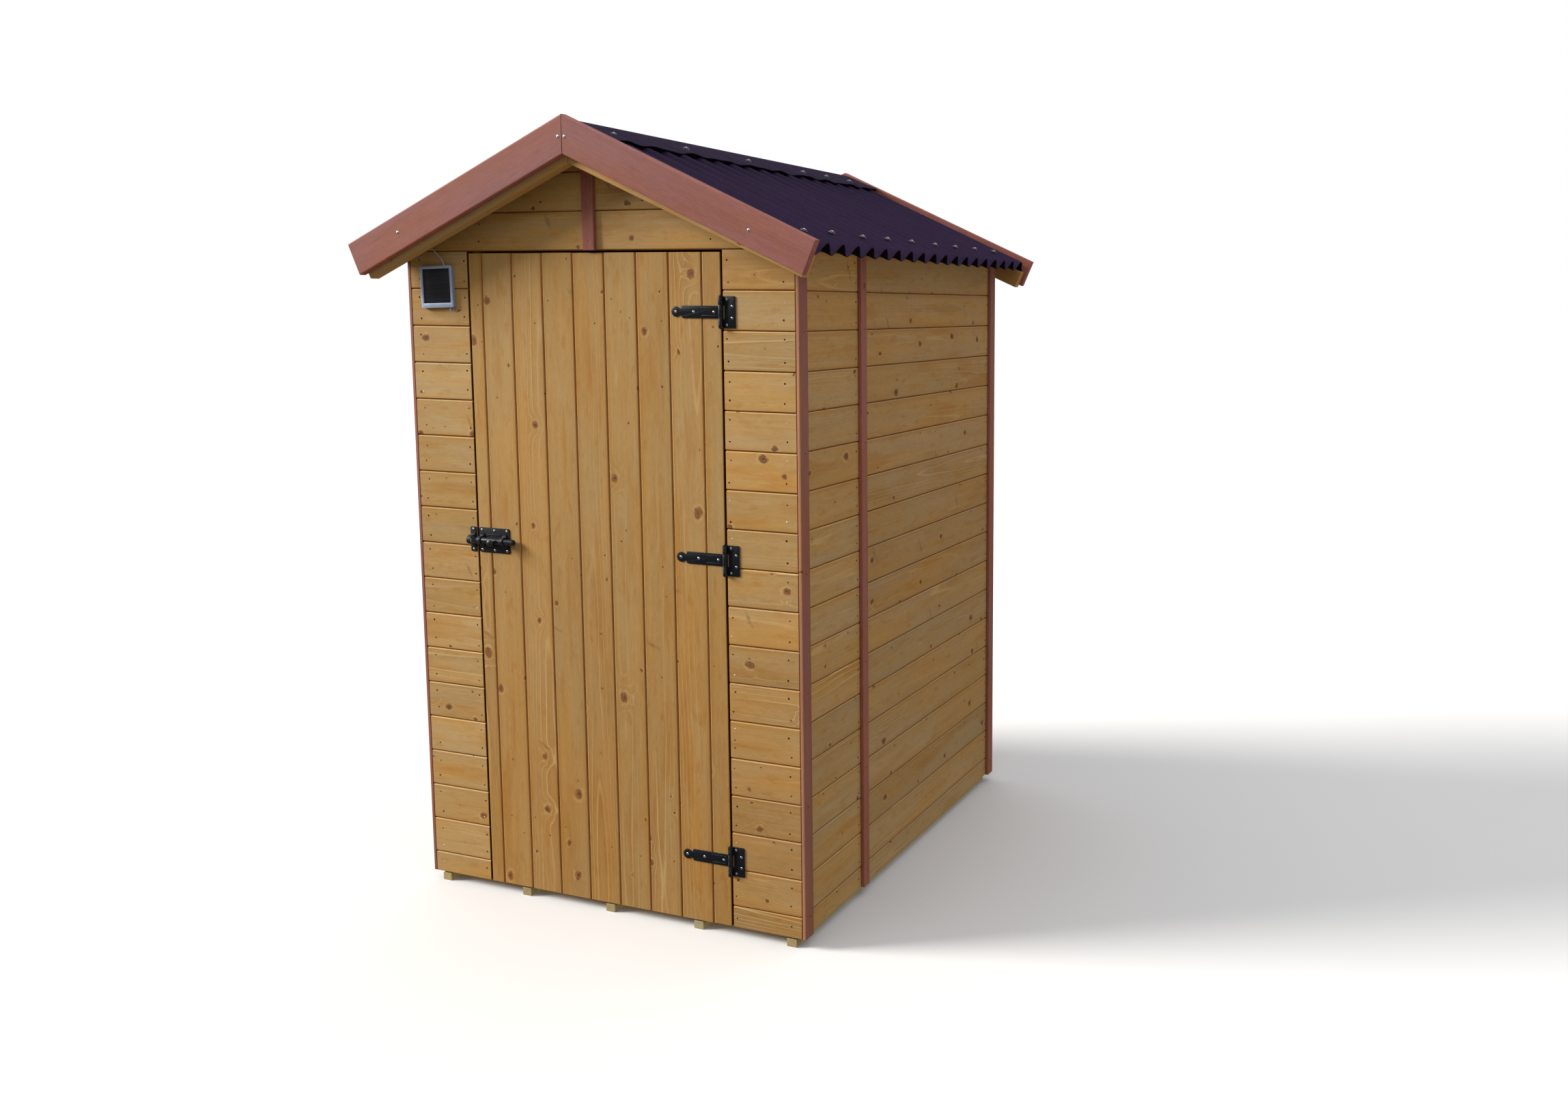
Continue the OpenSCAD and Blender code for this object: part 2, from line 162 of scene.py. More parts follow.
def tongue(u0, u1, T, lo=True, hi=True, c=2.9, g=.35, extra=(), kl=1.0, kh=-.65):
    """Tongue-and-groove board with an open V joint on the edges that meet another board; kl and kh say how much painted
    shade, or under zero how much painted highlight, its two flanks get; free edges that meet no board get painted
    shade.
    """
    d = T - c - 1.0
    pts = [(u0 + .6, 0, 0), *[(e, 0, 0) for e in sorted(extra)], (u1 - .6, 0, 0), (u1, .6, 1.0 if hi else 1.6)]
    if hi:
        pts += [(u1, d, 1), (u1 - g, d, 1), (u1 - g, T - c, 1), (u1 - g - .42 * c, T - .46 * c, .94 * kh), (u1 - g - .8 * c, T - .1 * c, .74 * kh), (u1 - g - c - .4, T, .16), (u1 - g - c - 1.8, T, .13)]
        pts += [(u1 - g - c - 12, T, 0)] if u1 - u0 > 40 else []
    else:
        pts += [(u1, T - 1.2, 1.6), (u1 - .4, T - .4, .7), (u1 - 1.2, T, .14), (u1 - 3, T, 0)]
    pts += [(e, T, 0) for e in sorted(extra, reverse=True)]
    if lo:
        pts += [(u0 + g + c + 12, T, 0)] if u1 - u0 > 40 else []
        pts += [(u0 + g + c + 1.8, T, .13), (u0 + g + c + .4, T, .16), (u0 + g + .8 * c, T - .1 * c, .74 * kl), (u0 + g + .42 * c, T - .46 * c, .94 * kl), (u0 + g, T - c, 1), (u0 + g, d, 1), (u0, d, 1)]
    else:
        pts += [(u0 + 3, T, 0), (u0 + 1.2, T, .14), (u0 + .4, T - .4, .7), (u0, T - 1.2, 1.6)]
    pts += [(u0, .6, 1.0 if lo else 1.6)]
    return pts


def plank(u0, u1, T, r=1.6, back=.8):
    """Planed board with eased edges."""
    b = back
    return [(u0 + b, 0, .3), (u1 - b, 0, .3), (u1, b, .6), (u1, T - r, .6), (u1 - .3 * r, T - .3 * r, 1), (u1 - r, T, .5), (u1 - r - 2.2, T, 0),
            (u0 + r + 2.2, T, 0), (u0 + r, T, .5), (u0 + .3 * r, T - .3 * r, 1), (u0, T - r, .6), (u0, b, .6)]


def strip(u0, u1, T, r=1.8, b=1.2, lit_edge=0.3):
    """Flat trim: painted shade along its back edges at the wall and along its eased edges; a value below zero for the
    last argument paints a highlight on its front edge.
    """
    return [(u0 + b, 0, 2), (u1 - b, 0, 2), (u1, b, 2), (u1, T - r, 1.5), (u1 - .3 * r, T - .3 * r, 2), (u1 - r, T, 2), (u1 - r - 1.0, T, 1.85), (u1 - r - 2.4, T, 0),
            (u0 + r + 2.2, T, 0), (u0 + r, T, .3), (u0 + .3 * r, T - .3 * r, 1.7 if lit_edge > -.9 else -.4), (u0, T - r, lit_edge), (u0, b + .9, lit_edge), (u0, b, 2)]


def prism(A, outline, org, ea, eb, en, h0, h1, bev=.4, mat=0, rnd=.5, seg=1):
    """Plate of a given outline (a, b) between heights h0 and h1 along en, with its front edge eased."""
    n = len(outline)
    area = sum(outline[i][0] * outline[(i + 1) % n][1] - outline[(i + 1) % n][0] * outline[i][1] for i in range(n))
    o = outline if area > 0 else outline[::-1]
    nor = []
    for i in range(n):
        p, q, r = Vector(o[i - 1]), Vector(o[i]), Vector(o[(i + 1) % n])
        d1, d2 = (q - p).normalized(), (r - q).normalized()
        n1, n2 = Vector((-d1.y, d1.x)), Vector((-d2.y, d2.x))
        s = n1 + n2
        s = s / max(.35, s.dot(n1)) if s.length > 1e-6 else n1
        nor.append(s)
    sg = 1 if h1 > h0 else -1
    rings = [(0, h0), (0, h1 - sg * bev), (bev * .3, h1 - sg * bev * .3), (bev, h1)]
    vs, gs, es = [], [], []
    for k, (ins, h) in enumerate(rings):
        for (a, b), nn in zip(o, nor):
            a2, b2 = a + nn.x * ins, b + nn.y * ins
            vs.append(org + ea * a2 + eb * b2 + en * h)
            gs.append((a2, b2, h))
            # the eased rim is marked; the metal finishes lighten it as rubbing and as painted highlight
            es.append(1.0 if k in (1, 2) else 0.0)
    fs = []
    for k in range(3):
        for i in range(n):
            j = (i + 1) % n
            fs.append((k * n + i, k * n + j, (k + 1) * n + j, (k + 1) * n + i))
    fs.append(tuple(range(n - 1, -1, -1)))
    fs.append(tuple(3 * n + i for i in range(n)))
    A.add(vs, fs, gs, rnd, es, mat)


def lathe(A, org, axis, prof, seg=20, mat=0, rnd=.5, edges=None):
    """Turned solid: prof is (radius, height along axis); ends close on the axis."""
    axis = axis.normalized()
    ref = X if abs(axis.x) < .8 else Y
    a = axis.cross(ref).normalized()
    b = axis.cross(a)
    vs, gs, es, fs, rows = [], [], [], [], []
    for k, (r, h) in enumerate(prof):
        row = []
        if r < 1e-6:
            row = [len(vs)] * seg
            vs.append(org + axis * h)
            gs.append((0, 0, h))
            es.append(edges[k] if edges else 0.0)
        else:
            for i in range(seg):
                t = 2 * math.pi * i / seg
                row.append(len(vs))
                vs.append(org + axis * h + (a * math.cos(t) + b * math.sin(t)) * r)
                gs.append((r * math.cos(t), r * math.sin(t), h))
                es.append(edges[k] if edges else 0.0)
        rows.append(row)
    for k in range(len(rows) - 1):
        for i in range(seg):
            j = (i + 1) % seg
            q = []
            for w in (rows[k][i], rows[k][j], rows[k + 1][j], rows[k + 1][i]):
                if w not in q:
                    q.append(w)
            if len(q) > 2:
                fs.append(tuple(q))
    if prof[0][0] > 1e-6:
        fs.append(tuple(rows[0][::-1]))
    if prof[-1][0] > 1e-6:
        fs.append(tuple(rows[-1]))
    A.add(vs, fs, gs, rnd, es, mat)


def tube(A, pts, rad, seg=8, mat=0, rnd=.5, closed=False):
    """Round wire along pts."""
    n = len(pts)
    vs, fs, gs = [], [], []
    pa = None
    run = 0.0
    for i, p in enumerate(pts):
        if closed:
            t = (pts[(i + 1) % n] - pts[i - 1]).normalized()
        else:
            t = (pts[min(n - 1, i + 1)] - pts[max(0, i - 1)]).normalized()
        if pa is None:
            ref = Z if abs(t.z) < .8 else X
            pa = t.cross(ref).normalized()
        pa = (pa - t * pa.dot(t)).normalized()
        pb = t.cross(pa)
        run += (p - pts[i - 1]).length if i else 0
        for k in range(seg):
            w = 2 * math.pi * k / seg
            vs.append(p + (pa * math.cos(w) + pb * math.sin(w)) * rad)
            gs.append((run, rad * math.cos(w), rad * math.sin(w)))
    last = n if closed else n - 1
    for i in range(last):
        for k in range(seg):
            j = (k + 1) % seg
            i2 = (i + 1) % n
            fs.append((i * seg + k, i * seg + j, i2 * seg + j, i2 * seg + k))
    if not closed:
        fs.append(tuple(range(seg - 1, -1, -1)))
        fs.append(tuple((n - 1) * seg + k for k in range(seg)))
    A.add(vs, fs, gs, rnd, None, mat)


def screw(A, p, out, r=4.0, h=1.5, turn=0.0, mat=0, dark=1):
    """Countersunk screw head, low dome with a cross recess."""
    out = out.normalized()
    ref = Z if abs(out.z) < .8 else X
    a = out.cross(ref).normalized()
    b = out.cross(a)
    a, b = a * math.cos(turn) + b * math.sin(turn), b * math.cos(turn) - a * math.sin(turn)
    w, l = r * .15, r * .58
    # dome rings, then a plus-shaped recess in the flat of the head
    lathe(A, p, out, [(r * .98, -.6), (r, h * .25), (r * .93, h * .55), (r * .78, h * .85), (r * .6, h), (0, h * 1.03)], 16, mat)
    for ea, eb in ((a, b), (b, a)):
        pr = [(-l, -w), (l, -w), (l, w), (-l, w)]
        prism(A, pr, p, ea, eb, out, h * .5, h * 1.03 + .12, .05, dark)


def nail(A, p, out, r=2.4, h=.35, mat=0):
    """Driven wire nail, its flat head just set into the board."""
    lathe(A, p, out, [(r * 1.0, -.5), (r, h * .4), (r * .86, h), (r * .3, h * .8), (0, h * .75)], 10, mat)


def roof(side, s, n, y):
    return V(side * (s * COS - n * SIN), y, PEAK - s * SIN - n * COS)


# ------------------------------------------------------------------ materials
class NT:
    def __init__(self, name):
        self.m = bpy.data.materials.new(name)
        self.m.use_nodes = True
        self.t = self.m.node_tree
        self.t.nodes.clear()
        self.out = self.t.nodes.new("ShaderNodeOutputMaterial")
        self.b = self.t.nodes.new("ShaderNodeBsdfPrincipled")
        self.t.links.new(self.b.outputs[0], self.out.inputs[0])

    def put(self, sock, v):
        if isinstance(v, bpy.types.NodeSocket):
            self.t.links.new(v, sock)
        elif v is not None:
            if isinstance(v, (tuple, list)) and len(v) == 3 and sock.type == "RGBA":
                v = (*v, 1.0)
            sock.default_value = v

    def attr(self, name, which="Fac"):
        n = self.t.nodes.new("ShaderNodeAttribute")
        n.attribute_name = name
        return n.outputs[which]

    def math(self, op, a, b=None, c=None, clamp=False):
        n = self.t.nodes.new("ShaderNodeMath")
        n.operation, n.use_clamp = op, clamp
        for i, v in enumerate((a, b, c)):
            self.put(n.inputs[i], v)
        return n.outputs[0]

    def vmul(self, v, k):
        n = self.t.nodes.new("ShaderNodeVectorMath")
        n.operation = "MULTIPLY"
        self.put(n.inputs[0], v)
        n.inputs[1].default_value = k
        return n.outputs[0]

    def sep(self, v):
        n = self.t.nodes.new("ShaderNodeSeparateXYZ")
        self.put(n.inputs[0], v)
        return n.outputs

    def comb(self, x, y, z):
        n = self.t.nodes.new("ShaderNodeCombineXYZ")
        for i, v in enumerate((x, y, z)):
            self.put(n.inputs[i], v)
        return n.outputs[0]

    def noise(self, v, scale=1.0, detail=2.0, rough=.5, dist=0.0):
        n = self.t.nodes.new("ShaderNodeTexNoise")
        self.put(n.inputs["Vector"], v)
        n.inputs["Scale"].default_value = scale
        n.inputs["Detail"].default_value = detail
        n.inputs["Roughness"].default_value = rough
        n.inputs["Distortion"].default_value = dist
        return n.outputs["Fac"]

    def rng(self, v, a, b, c=0.0, d=1.0, smooth=False):
        n = self.t.nodes.new("ShaderNodeMapRange")
        n.interpolation_type = "SMOOTHSTEP" if smooth else "LINEAR"
        for i, k in enumerate((v, a, b, c, d)):
            self.put(n.inputs[i], k)
        return n.outputs[0]

    def mix(self, f, a, b, mode="MIX"):
        n = self.t.nodes.new("ShaderNodeMix")
        n.data_type, n.blend_type = "RGBA", mode
        self.put(n.inputs[0], f)
        self.put(n.inputs[6], a)
        self.put(n.inputs[7], b)
        return n.outputs[2]

    def scale(self, col, f):
        """Colour times a number."""
        n = self.t.nodes.new("ShaderNodeVectorMath")
        n.operation = "SCALE"
        self.put(n.inputs[0], col)
        self.put(n.inputs[3], f)
        return n.outputs[0]

    def ramp(self, f, stops):
        n = self.t.nodes.new("ShaderNodeValToRGB")
        while len(n.color_ramp.elements) < len(stops):
            n.color_ramp.elements.new(.5)
        for e, (p, c) in zip(n.color_ramp.elements, stops):
            e.position = p
            e.color = (c, c, c, 1) if isinstance(c, (int, float)) else (*c, 1)
        self.put(n.inputs[0], f)
        return n.outputs[0]

    def bump(self, h, dist, strength=1.0):
        n = self.t.nodes.new("ShaderNodeBump")
        n.inputs["Distance"].default_value = dist
        n.inputs["Strength"].default_value = strength
        self.put(n.inputs["Height"], h)
        self.put(self.b.inputs["Normal"], n.outputs[0])

    def done(self, col, rough, spec=.4, metal=0.0, coat=0.0, coat_rough=.1):
        self.put(self.b.inputs["Base Color"], col)
        self.put(self.b.inputs["Roughness"], rough)
        self.b.inputs["Specular IOR Level"].default_value = spec
        self.b.inputs["Metallic"].default_value = metal
        if coat:
            self.b.inputs["Coat Weight"].default_value = coat
            self.b.inputs["Coat Roughness"].default_value = coat_rough
        return self.m


def wood(name, early, late, pale, knot, ring=.0064, contrast=.30, lines=.70, streak=.11, fibre=.09, mottle=.15, tint=.075, warm=(1.03, .975, .90), groove=.9,
         edge_gain=0.0, blotch=.72, knots=.72, knot_cell=8.8, knot_size=.0092, rough=(.58, .74), bump=.00020, spec=.14, patch=.12, low_shade=None, spikes=.5,
         seam=(.84, .45, .27), swing=((1.02, .955, .80), (.97, 1.03, 1.19))):
    """Stained softwood: rings cut by the board, pale late-wood lines on some boards, fibres, knots that bend the rings, stain blotches, one tint per board."""
    n = NT(name)
    g = n.attr("gpos", "Vector")
    rnd = n.attr("rnd")
    mark = n.attr("edge")
    edge = n.math("MAXIMUM", mark, 0.0)
    s = n.sep(g)
    warp = n.noise(n.vmul(g, (1.7, 9.0, 9.0)), 1.0, 2.0, .55)
    wave = n.noise(n.vmul(g, (5.0, 34.0, 34.0)), 1.0, 2.0, .5)
    rag = n.noise(n.vmul(g, (120.0, 190.0, 190.0)), 1.0, 3.0, .62)
    # knots: one per cell at most, a little longer along the board than across
    vo = n.t.nodes.new("ShaderNodeTexVoronoi")
    vo.voronoi_dimensions = "2D"
    vo.inputs["Scale"].default_value = knot_cell
    k1 = n.math("MULTIPLY", n.math("SUBTRACT", n.noise(n.vmul(g, (58.0, 58.0, 58.0)), 1.0, 2.0, .6), .5), .013)
    k2 = n.math("MULTIPLY", n.math("SUBTRACT", n.noise(n.vmul(g, (47.0, 71.0, 71.0)), 1.0, 2.0, .6), .5), .013)
    n.put(vo.inputs["Vector"], n.comb(n.math("ADD", n.math("MULTIPLY", s[0], .78), k1), n.math("ADD", s[1], k2), 0.0))
    d = n.math("DIVIDE", vo.outputs["Distance"], knot_cell)
    d = n.math("ADD", d, n.math("MULTIPLY", n.math("SUBTRACT", rag, .5), .0034))
    sc = n.t.nodes.new("ShaderNodeSeparateColor")
    n.put(sc.inputs[0], vo.outputs["Color"])
    there = n.math("LESS_THAN", sc.outputs[0], knots)
    size = n.math("ADD", .0019, n.math("MULTIPLY", n.math("POWER", sc.outputs[1], 2.0), knot_size))
    kr = n.math("ADD", n.math("MULTIPLY", size, there), 1e-5)
    t = n.math("DIVIDE", d, kr)
    core = n.rng(t, .78, 1.24, 1.0, 0.0, True)
    rim = n.math("MULTIPLY", n.rng(t, .50, .88, 0.0, 1.0, True), core)
    side = n.rng(n.noise(n.vmul(g, (26.0, 40.0, 40.0)), 1.0, 1.0), .46, .58)
    moon = n.math("MULTIPLY", n.math("MULTIPLY", n.rng(t, 1.05, 1.35, 0.0, 1.0, True), n.rng(t, 1.4, 2.1, 1.0, 0.0, True)), side)
    halo = n.math("EXPONENT", n.math("MULTIPLY", n.math("POWER", n.math("DIVIDE", t, 2.5), 2.0), -1.0))
    glow = n.math("MULTIPLY", n.math("EXPONENT", n.math("MULTIPLY", t, -.46)), there)
    # branches cut along their length: soft dark smears across the board
    vs = n.t.nodes.new("ShaderNodeTexVoronoi")
    vs.voronoi_dimensions = "2D"
    vs.inputs["Scale"].default_value = 7.0
    n.put(vs.inputs["Vector"], n.comb(n.math("ADD", n.math("ADD", s[0], n.math("MULTIPLY", s[1], .45)), n.math("MULTIPLY", k1, 1.3)), n.math("ADD", n.math("MULTIPLY", s[1], .26), 3.7), 0.0))
    s2 = n.t.nodes.new("ShaderNodeSeparateColor")
    n.put(s2.inputs[0], vs.outputs["Color"])
    smear = n.math("DIVIDE", n.math("DIVIDE", vs.outputs["Distance"], 7.0), n.math("ADD", .0022, n.math("MULTIPLY", s2.outputs[1], .0034)))
    smear = n.math("MULTIPLY", n.rng(smear, .25, 1.5, 1.0, 0.0, True), n.math("MULTIPLY", n.math("LESS_THAN", s2.outputs[0], spikes), n.rng(rag, .30, .62, .35, 1.0)))
    # rings round the pith
    rad = n.math("SQRT", n.math("ADD", n.math("POWER", s[1], 2.0), n.math("POWER", s[2], 2.0)))
    rad = n.math("ADD", rad, n.math("MULTIPLY", n.math("SUBTRACT", warp, .5), .015))
    rad = n.math("ADD", rad, n.math("MULTIPLY", n.math("SUBTRACT", wave, .5), .0026))
    rad = n.math("ADD", rad, n.math("MULTIPLY", n.math("MULTIPLY", halo, kr), 1.7))
    ph = n.math("FRACT", n.math("DIVIDE", rad, ring))
    lw = n.ramp(ph, [(0.0, .1), (.15, 0.0), (.5, .2), (.72, .75), (.80, 1.0), (.9, .5), (1.0, .1)])
    ln = n.ramp(ph, [(0.0, .12), (.06, 0.0), (.78, 0.0), (.86, .55), (.92, 1.0), (.96, .8), (1.0, .12)])
    strong = n.rng(n.math("FRACT", n.math("MULTIPLY", rnd, 13.7)), .20, .95, .12, 1.0)
    var = n.rng(n.noise(n.vmul(g, (1.6, 15.0, 15.0)), 1.0, 2.0), .42, .66, .05, 1.0)
    lw = n.math("MULTIPLY", lw, n.math("MULTIPLY", var, n.math("ADD", .35, n.math("MULTIPLY", strong, .65))))
    ln = n.math("MULTIPLY", ln, n.math("MULTIPLY", var, strong))
    fib = n.noise(n.vmul(g, (9.0, 620.0, 620.0)), 1.0, 3.0, .6)
    mot = n.noise(n.vmul(g, (42.0, 230.0, 230.0)), 1.0, 3.0, .66)
    pore = n.noise(n.vmul(g, (230.0, 340.0, 340.0)), 1.0, 2.0, .6)
    stk = n.noise(n.vmul(g, (1.6, 75.0, 75.0)), 1.0, 3.0, .6)
    pat = n.noise(n.vmul(g, (3.0, 11.0, 11.0)), 1.0, 3.0, .6)
    hue = n.rng(n.noise(n.vmul(g, (2.3, 13.0, 13.0)), 1.0, 3.0, .6), .36, .64)
    blo = n.rng(n.noise(n.vmul(g, (3.2, 21.0, 21.0)), 1.0, 3.0, .62), .50, .70, 0.0, 1.0, True)
    spot = n.rng(n.noise(n.vmul(g, (17.0, 48.0, 48.0)), 1.0, 3.0, .6), .53, .72, 0.0, 1.0, True)
    col = n.mix(hue, n.mix(1.0, early, swing[0], "MULTIPLY"), n.mix(1.0, early, swing[1], "MULTIPLY"))
    col = n.mix(n.math("MULTIPLY", lw, contrast), col, late)
    v = n.math("ADD", 1.0, n.math("MULTIPLY", n.math("SUBTRACT", stk, .5), streak * 2))
    v = n.math("ADD", v, n.math("MULTIPLY", n.math("SUBTRACT", fib, .5), fibre * 2))
    v = n.math("ADD", v, n.math("MULTIPLY", n.math("SUBTRACT", mot, .5), mottle * 2))
    v = n.math("ADD", v, n.math("MULTIPLY", n.math("SUBTRACT", pore, .5), mottle * 1.3))
    v = n.math("ADD", v, n.math("MULTIPLY", n.math("SUBTRACT", pat, .5), patch * 2))
    v = n.math("ADD", v, n.math("MULTIPLY", n.math("SUBTRACT", rnd, .5), tint * 2))
    col = n.scale(col, v)
    col = n.mix(n.math("FRACT", n.math("MULTIPLY", rnd, 7.31)), col, n.mix(1.0, col, warm, "MULTIPLY"))
    soak = n.math("MAXIMUM", n.math("MULTIPLY", n.math("MAXIMUM", blo, n.math("MULTIPLY", spot, .9)), blotch), n.math("MULTIPLY", glow, .7))
    if groove:
        soak = n.math("MAXIMUM", soak, n.math("MULTIPLY", n.rng(edge, 0.0, .14), n.rng(pat, .36, .62, .1, .75)))
    col = n.mix(soak, col, n.mix(1.0, col, (.90, .74, .50), "MULTIPLY"))
    # painted shade: the colour darkens towards the bottom, by height
    if low_shade:
        tc = n.t.nodes.new("ShaderNodeTexCoord")
        col = n.mix(n.rng(n.sep(tc.outputs["Object"])[2], .15, 1.35, 1.0, 0.0, True), col, n.mix(1.0, col, low_shade, "MULTIPLY"))
    col = n.mix(n.math("MULTIPLY", ln, lines), col, pale)
    col = n.mix(n.math("MULTIPLY", moon, n.math("MULTIPLY", there, .28)), col, pale)
    col = n.mix(n.math("MULTIPLY", smear, .62), col, tuple(c * k for c, k in zip(knot, (1.15, 1.2, 1.25))))
    # grown-in knots: brown body, dark heart, a dark crescent on part of the rim; pin knots dark all over
    kc = n.mix(n.rng(n.noise(n.vmul(g, (150.0, 330.0, 330.0)), 1.0, 2.0), .42, .70, 0.0, .8), tuple(c * k for c, k in zip(knot, (1.46, 1.28, 1.18))), tuple(c * k for c, k in zip(knot, (1.05, .92, .85))))
    rings = n.rng(n.math("SINE", n.math("MULTIPLY", n.math("DIVIDE", d, .0021), 6.283)), -.2, 1.0, 0.0, .24)
    kc = n.mix(rings, kc, tuple(c * .9 for c in knot))
    kc = n.mix(n.math("MULTIPLY", n.rng(t, .12, .62, 1.0, 0.0, True), n.rng(sc.outputs[2], .2, .6, .45, 1.0)), kc, tuple(c * k for c, k in zip(knot, (.42, .38, .36))))
    cres = n.math("MULTIPLY", rim, n.rng(n.noise(n.vmul(g, (62.0, 78.0, 78.0)), 1.0, 1.0), .40, .58))
    kc = n.mix(n.math("MULTIPLY", cres, .85), kc, tuple(c * k for c, k in zip(knot, (.48, .42, .38))))
    kc = n.mix(n.rng(kr, .0022, .0042, .9, 0.0), kc, tuple(c * .5 for c in knot))
    col = n.mix(n.math("MULTIPLY", core, .93), col, kc)
    if groove:
        vary = n.rng(n.noise(n.vmul(g, (5.0, 3.0, 3.0)), 1.0, 3.0, .6), .36, .64, .62, 1.0)
        # dark joint in each groove, with painted shade on the flank marked as facing away from the light
        col = n.mix(n.math("MULTIPLY", n.math("MULTIPLY", n.math("POWER", edge, 1.5), groove), vary), col, tuple(c * k for c, k in zip(late, seam)))
        # painted shade: near black deep in the gaps at board ends and free board edges
        col = n.mix(n.rng(mark, 1.05, 1.6, 0.0, .9), col, tuple(c * k for c, k in zip(late, (.20, .11, .10))))
        # painted highlight on the flank marked as facing the light
        lit = n.math("MULTIPLY", n.math("MAXIMUM", n.math("MULTIPLY", mark, -1.0), 0.0), n.rng(pat, .30, .60, .35, 1.0))
        col = n.mix(n.math("MULTIPLY", lit, 1.2, clamp=True), col, n.mix(1.0, col, (1.42, 1.5, 1.75), "MULTIPLY"))
    if edge_gain:
        rub_and_glint = n.math("MULTIPLY", n.math("MINIMUM", edge, 1.0), n.rng(n.noise(n.vmul(g, (30.0, 160.0, 160.0)), 1.0, 3.0, .65), .38, .68))
        col = n.mix(n.math("MULTIPLY", rub_and_glint, edge_gain), col, n.mix(1.0, col, (1.75, 1.6, 1.5), "MULTIPLY"))
        # painted highlight on a sunlit front edge, and painted shade along the trim's eased edges and where it meets
        # the wall
        col = n.mix(n.math("MULTIPLY", n.rng(mark, 0.0, -1.0), n.rng(stk, .30, .62, .65, 1.0)), col, n.mix(1.0, col, (1.74, 2.20, 1.45), "MULTIPLY"))
        col = n.mix(n.rng(mark, 1.05, 2.0, 0.0, .85), col, tuple(c * k for c, k in zip(late, (.62, .44, .36))))
    r = n.math("ADD", rough[0], n.math("MULTIPLY", n.math("ADD", n.math("MULTIPLY", fib, .5), n.math("MULTIPLY", pat, .5)), rough[1] - rough[0]))
    h = n.math("ADD", n.math("MULTIPLY", lw, .45), n.math("ADD", n.math("MULTIPLY", fib, .6), n.math("MULTIPLY", mot, .4)))
    h = n.math("SUBTRACT", h, n.math("MULTIPLY", rim, .6))
    n.bump(h, bump)
    return n.done(col, r, spec)


PALE = (.56, .395, .185)


def pine(name, light_tone=(1, 1, 1), low_shade=(.955, .93, .905)):
    """Wall boarding in lit and shaded copies: each panel's tone is set by how much light falls on it, and painted shade
    darkens it towards the ground.
    """
    by = lambda c: tuple(a * b for a, b in zip(c, light_tone))
    return wood(name, by((.396, .249, .099)), by((.256, .125, .035)), by(PALE), (.150, .076, .034), knots=.80, knot_size=.0078, low_shade=low_shade,
                seam=(.54, .34, .23), swing=((1.01, .95, .785), (.965, 1.035, 1.23)), blotch=.74, tint=.085)


# lit and shaded copies of one wall stain, one per panel
PINE_W = pine("honey_pine_wall")
PINE_FL = pine("honey_pine_front_left", (1.04, 1.045, 1.05), (.975, .955, .92))
PINE_FR = pine("honey_pine_front_right", (1.05, 1.055, 1.05), (.78, .715, .64))
PINE_SF = pine("honey_pine_side_front", (1.15, 1.14, 1.22), (.82, .85, .86))
PINE_SR = pine("honey_pine_side_rear", (.975, .95, 1.01), (.92, .965, 1.0))
PINE_D = wood("honey_pine_door", (.376, .228, .082), (.240, .114, .030), (.52, .36, .165), (.165, .074, .028), knots=.80, low_shade=(.895, .835, .75))
STAIN = dict(ring=.0042, contrast=.34, lines=.12, streak=.16, fibre=.13, mottle=.13, tint=.06, blotch=.25, warm=(1.05, .98, .94), groove=0, edge_gain=.7, knots=.16, knot_size=.004,
             rough=(.50, .68), bump=.00022, patch=.16, spec=.18, spikes=0)
BROWN = wood("brown_stained_trim", (.240, .090, .076), (.170, .058, .046), (.30, .15, .13), (.090, .028, .022), **{**STAIN, "knots": .24, "knot_size": .0034, "mottle": .21, "blotch": .42})
# lighter copy of the trim stain for the trims on the shaded side walls: painted light
STRIP = wood("brown_stained_strip", (.274, .110, .090), (.197, .072, .057), (.34, .17, .14), (.095, .038, .028), low_shade=(.87, .83, .76), **STAIN)
RAW = wood("planed_frame_pine", (.56, .39, .205), (.41, .24, .10), (.60, .44, .25), (.20, .09, .036), contrast=.6, lines=.2, groove=.12, rough=(.55, .74), spec=.28, blotch=.2)
HONEY = wood("honey_pine_rafter", (.43, .278, .120), (.29, .15, .046), PALE, (.16, .07, .026), contrast=.45, lines=.3, groove=.10)
GREEN = wood("treated_bearer", (.365, .318, .180), (.24, .205, .105), (.44, .39, .25), (.13, .10, .055), contrast=.6, lines=.2, groove=.1, rough=(.66, .86), spec=.22, streak=.3, fibre=.22, patch=.2,
             knots=.35, blotch=.3)
DECK = wood("floor_pine", (.53, .37, .195), (.385, .225, .096), (.58, .42, .24), (.19, .085, .034), contrast=.6, lines=.25, groove=.5, rough=(.5, .7), spec=.3, blotch=.3)


def metal(name, base, rub_and_glint, rough, metallic, grain=900.0, bump=.00006, rub_and_glint_share=.6, spec=.5):
    n = NT(name)
    g = n.attr("gpos", "Vector")
    edge = n.attr("edge")
    a = n.noise(g, grain, 3.0, .6)
    b = n.noise(g, 90.0, 3.0, .6)
    # edge marks lighten: real rubbing on screws and nails, painted highlight on the black iron and on the roof nail
    # caps
    w = n.math("MULTIPLY", n.math("MULTIPLY", edge, n.rng(n.noise(g, 240.0, 2.0), .42, .62)), rub_and_glint_share)
    col = n.mix(w, n.mix(b, base, tuple(c * 1.45 for c in base)), rub_and_glint)
    r = n.math("ADD", rough[0], n.math("MULTIPLY", n.math("ADD", n.math("MULTIPLY", a, .4), n.math("MULTIPLY", b, .6)), rough[1] - rough[0]))
    n.bump(n.math("ADD", a, n.math("MULTIPLY", b, 2.0)), bump)
    return n.done(col, r, spec, metallic)


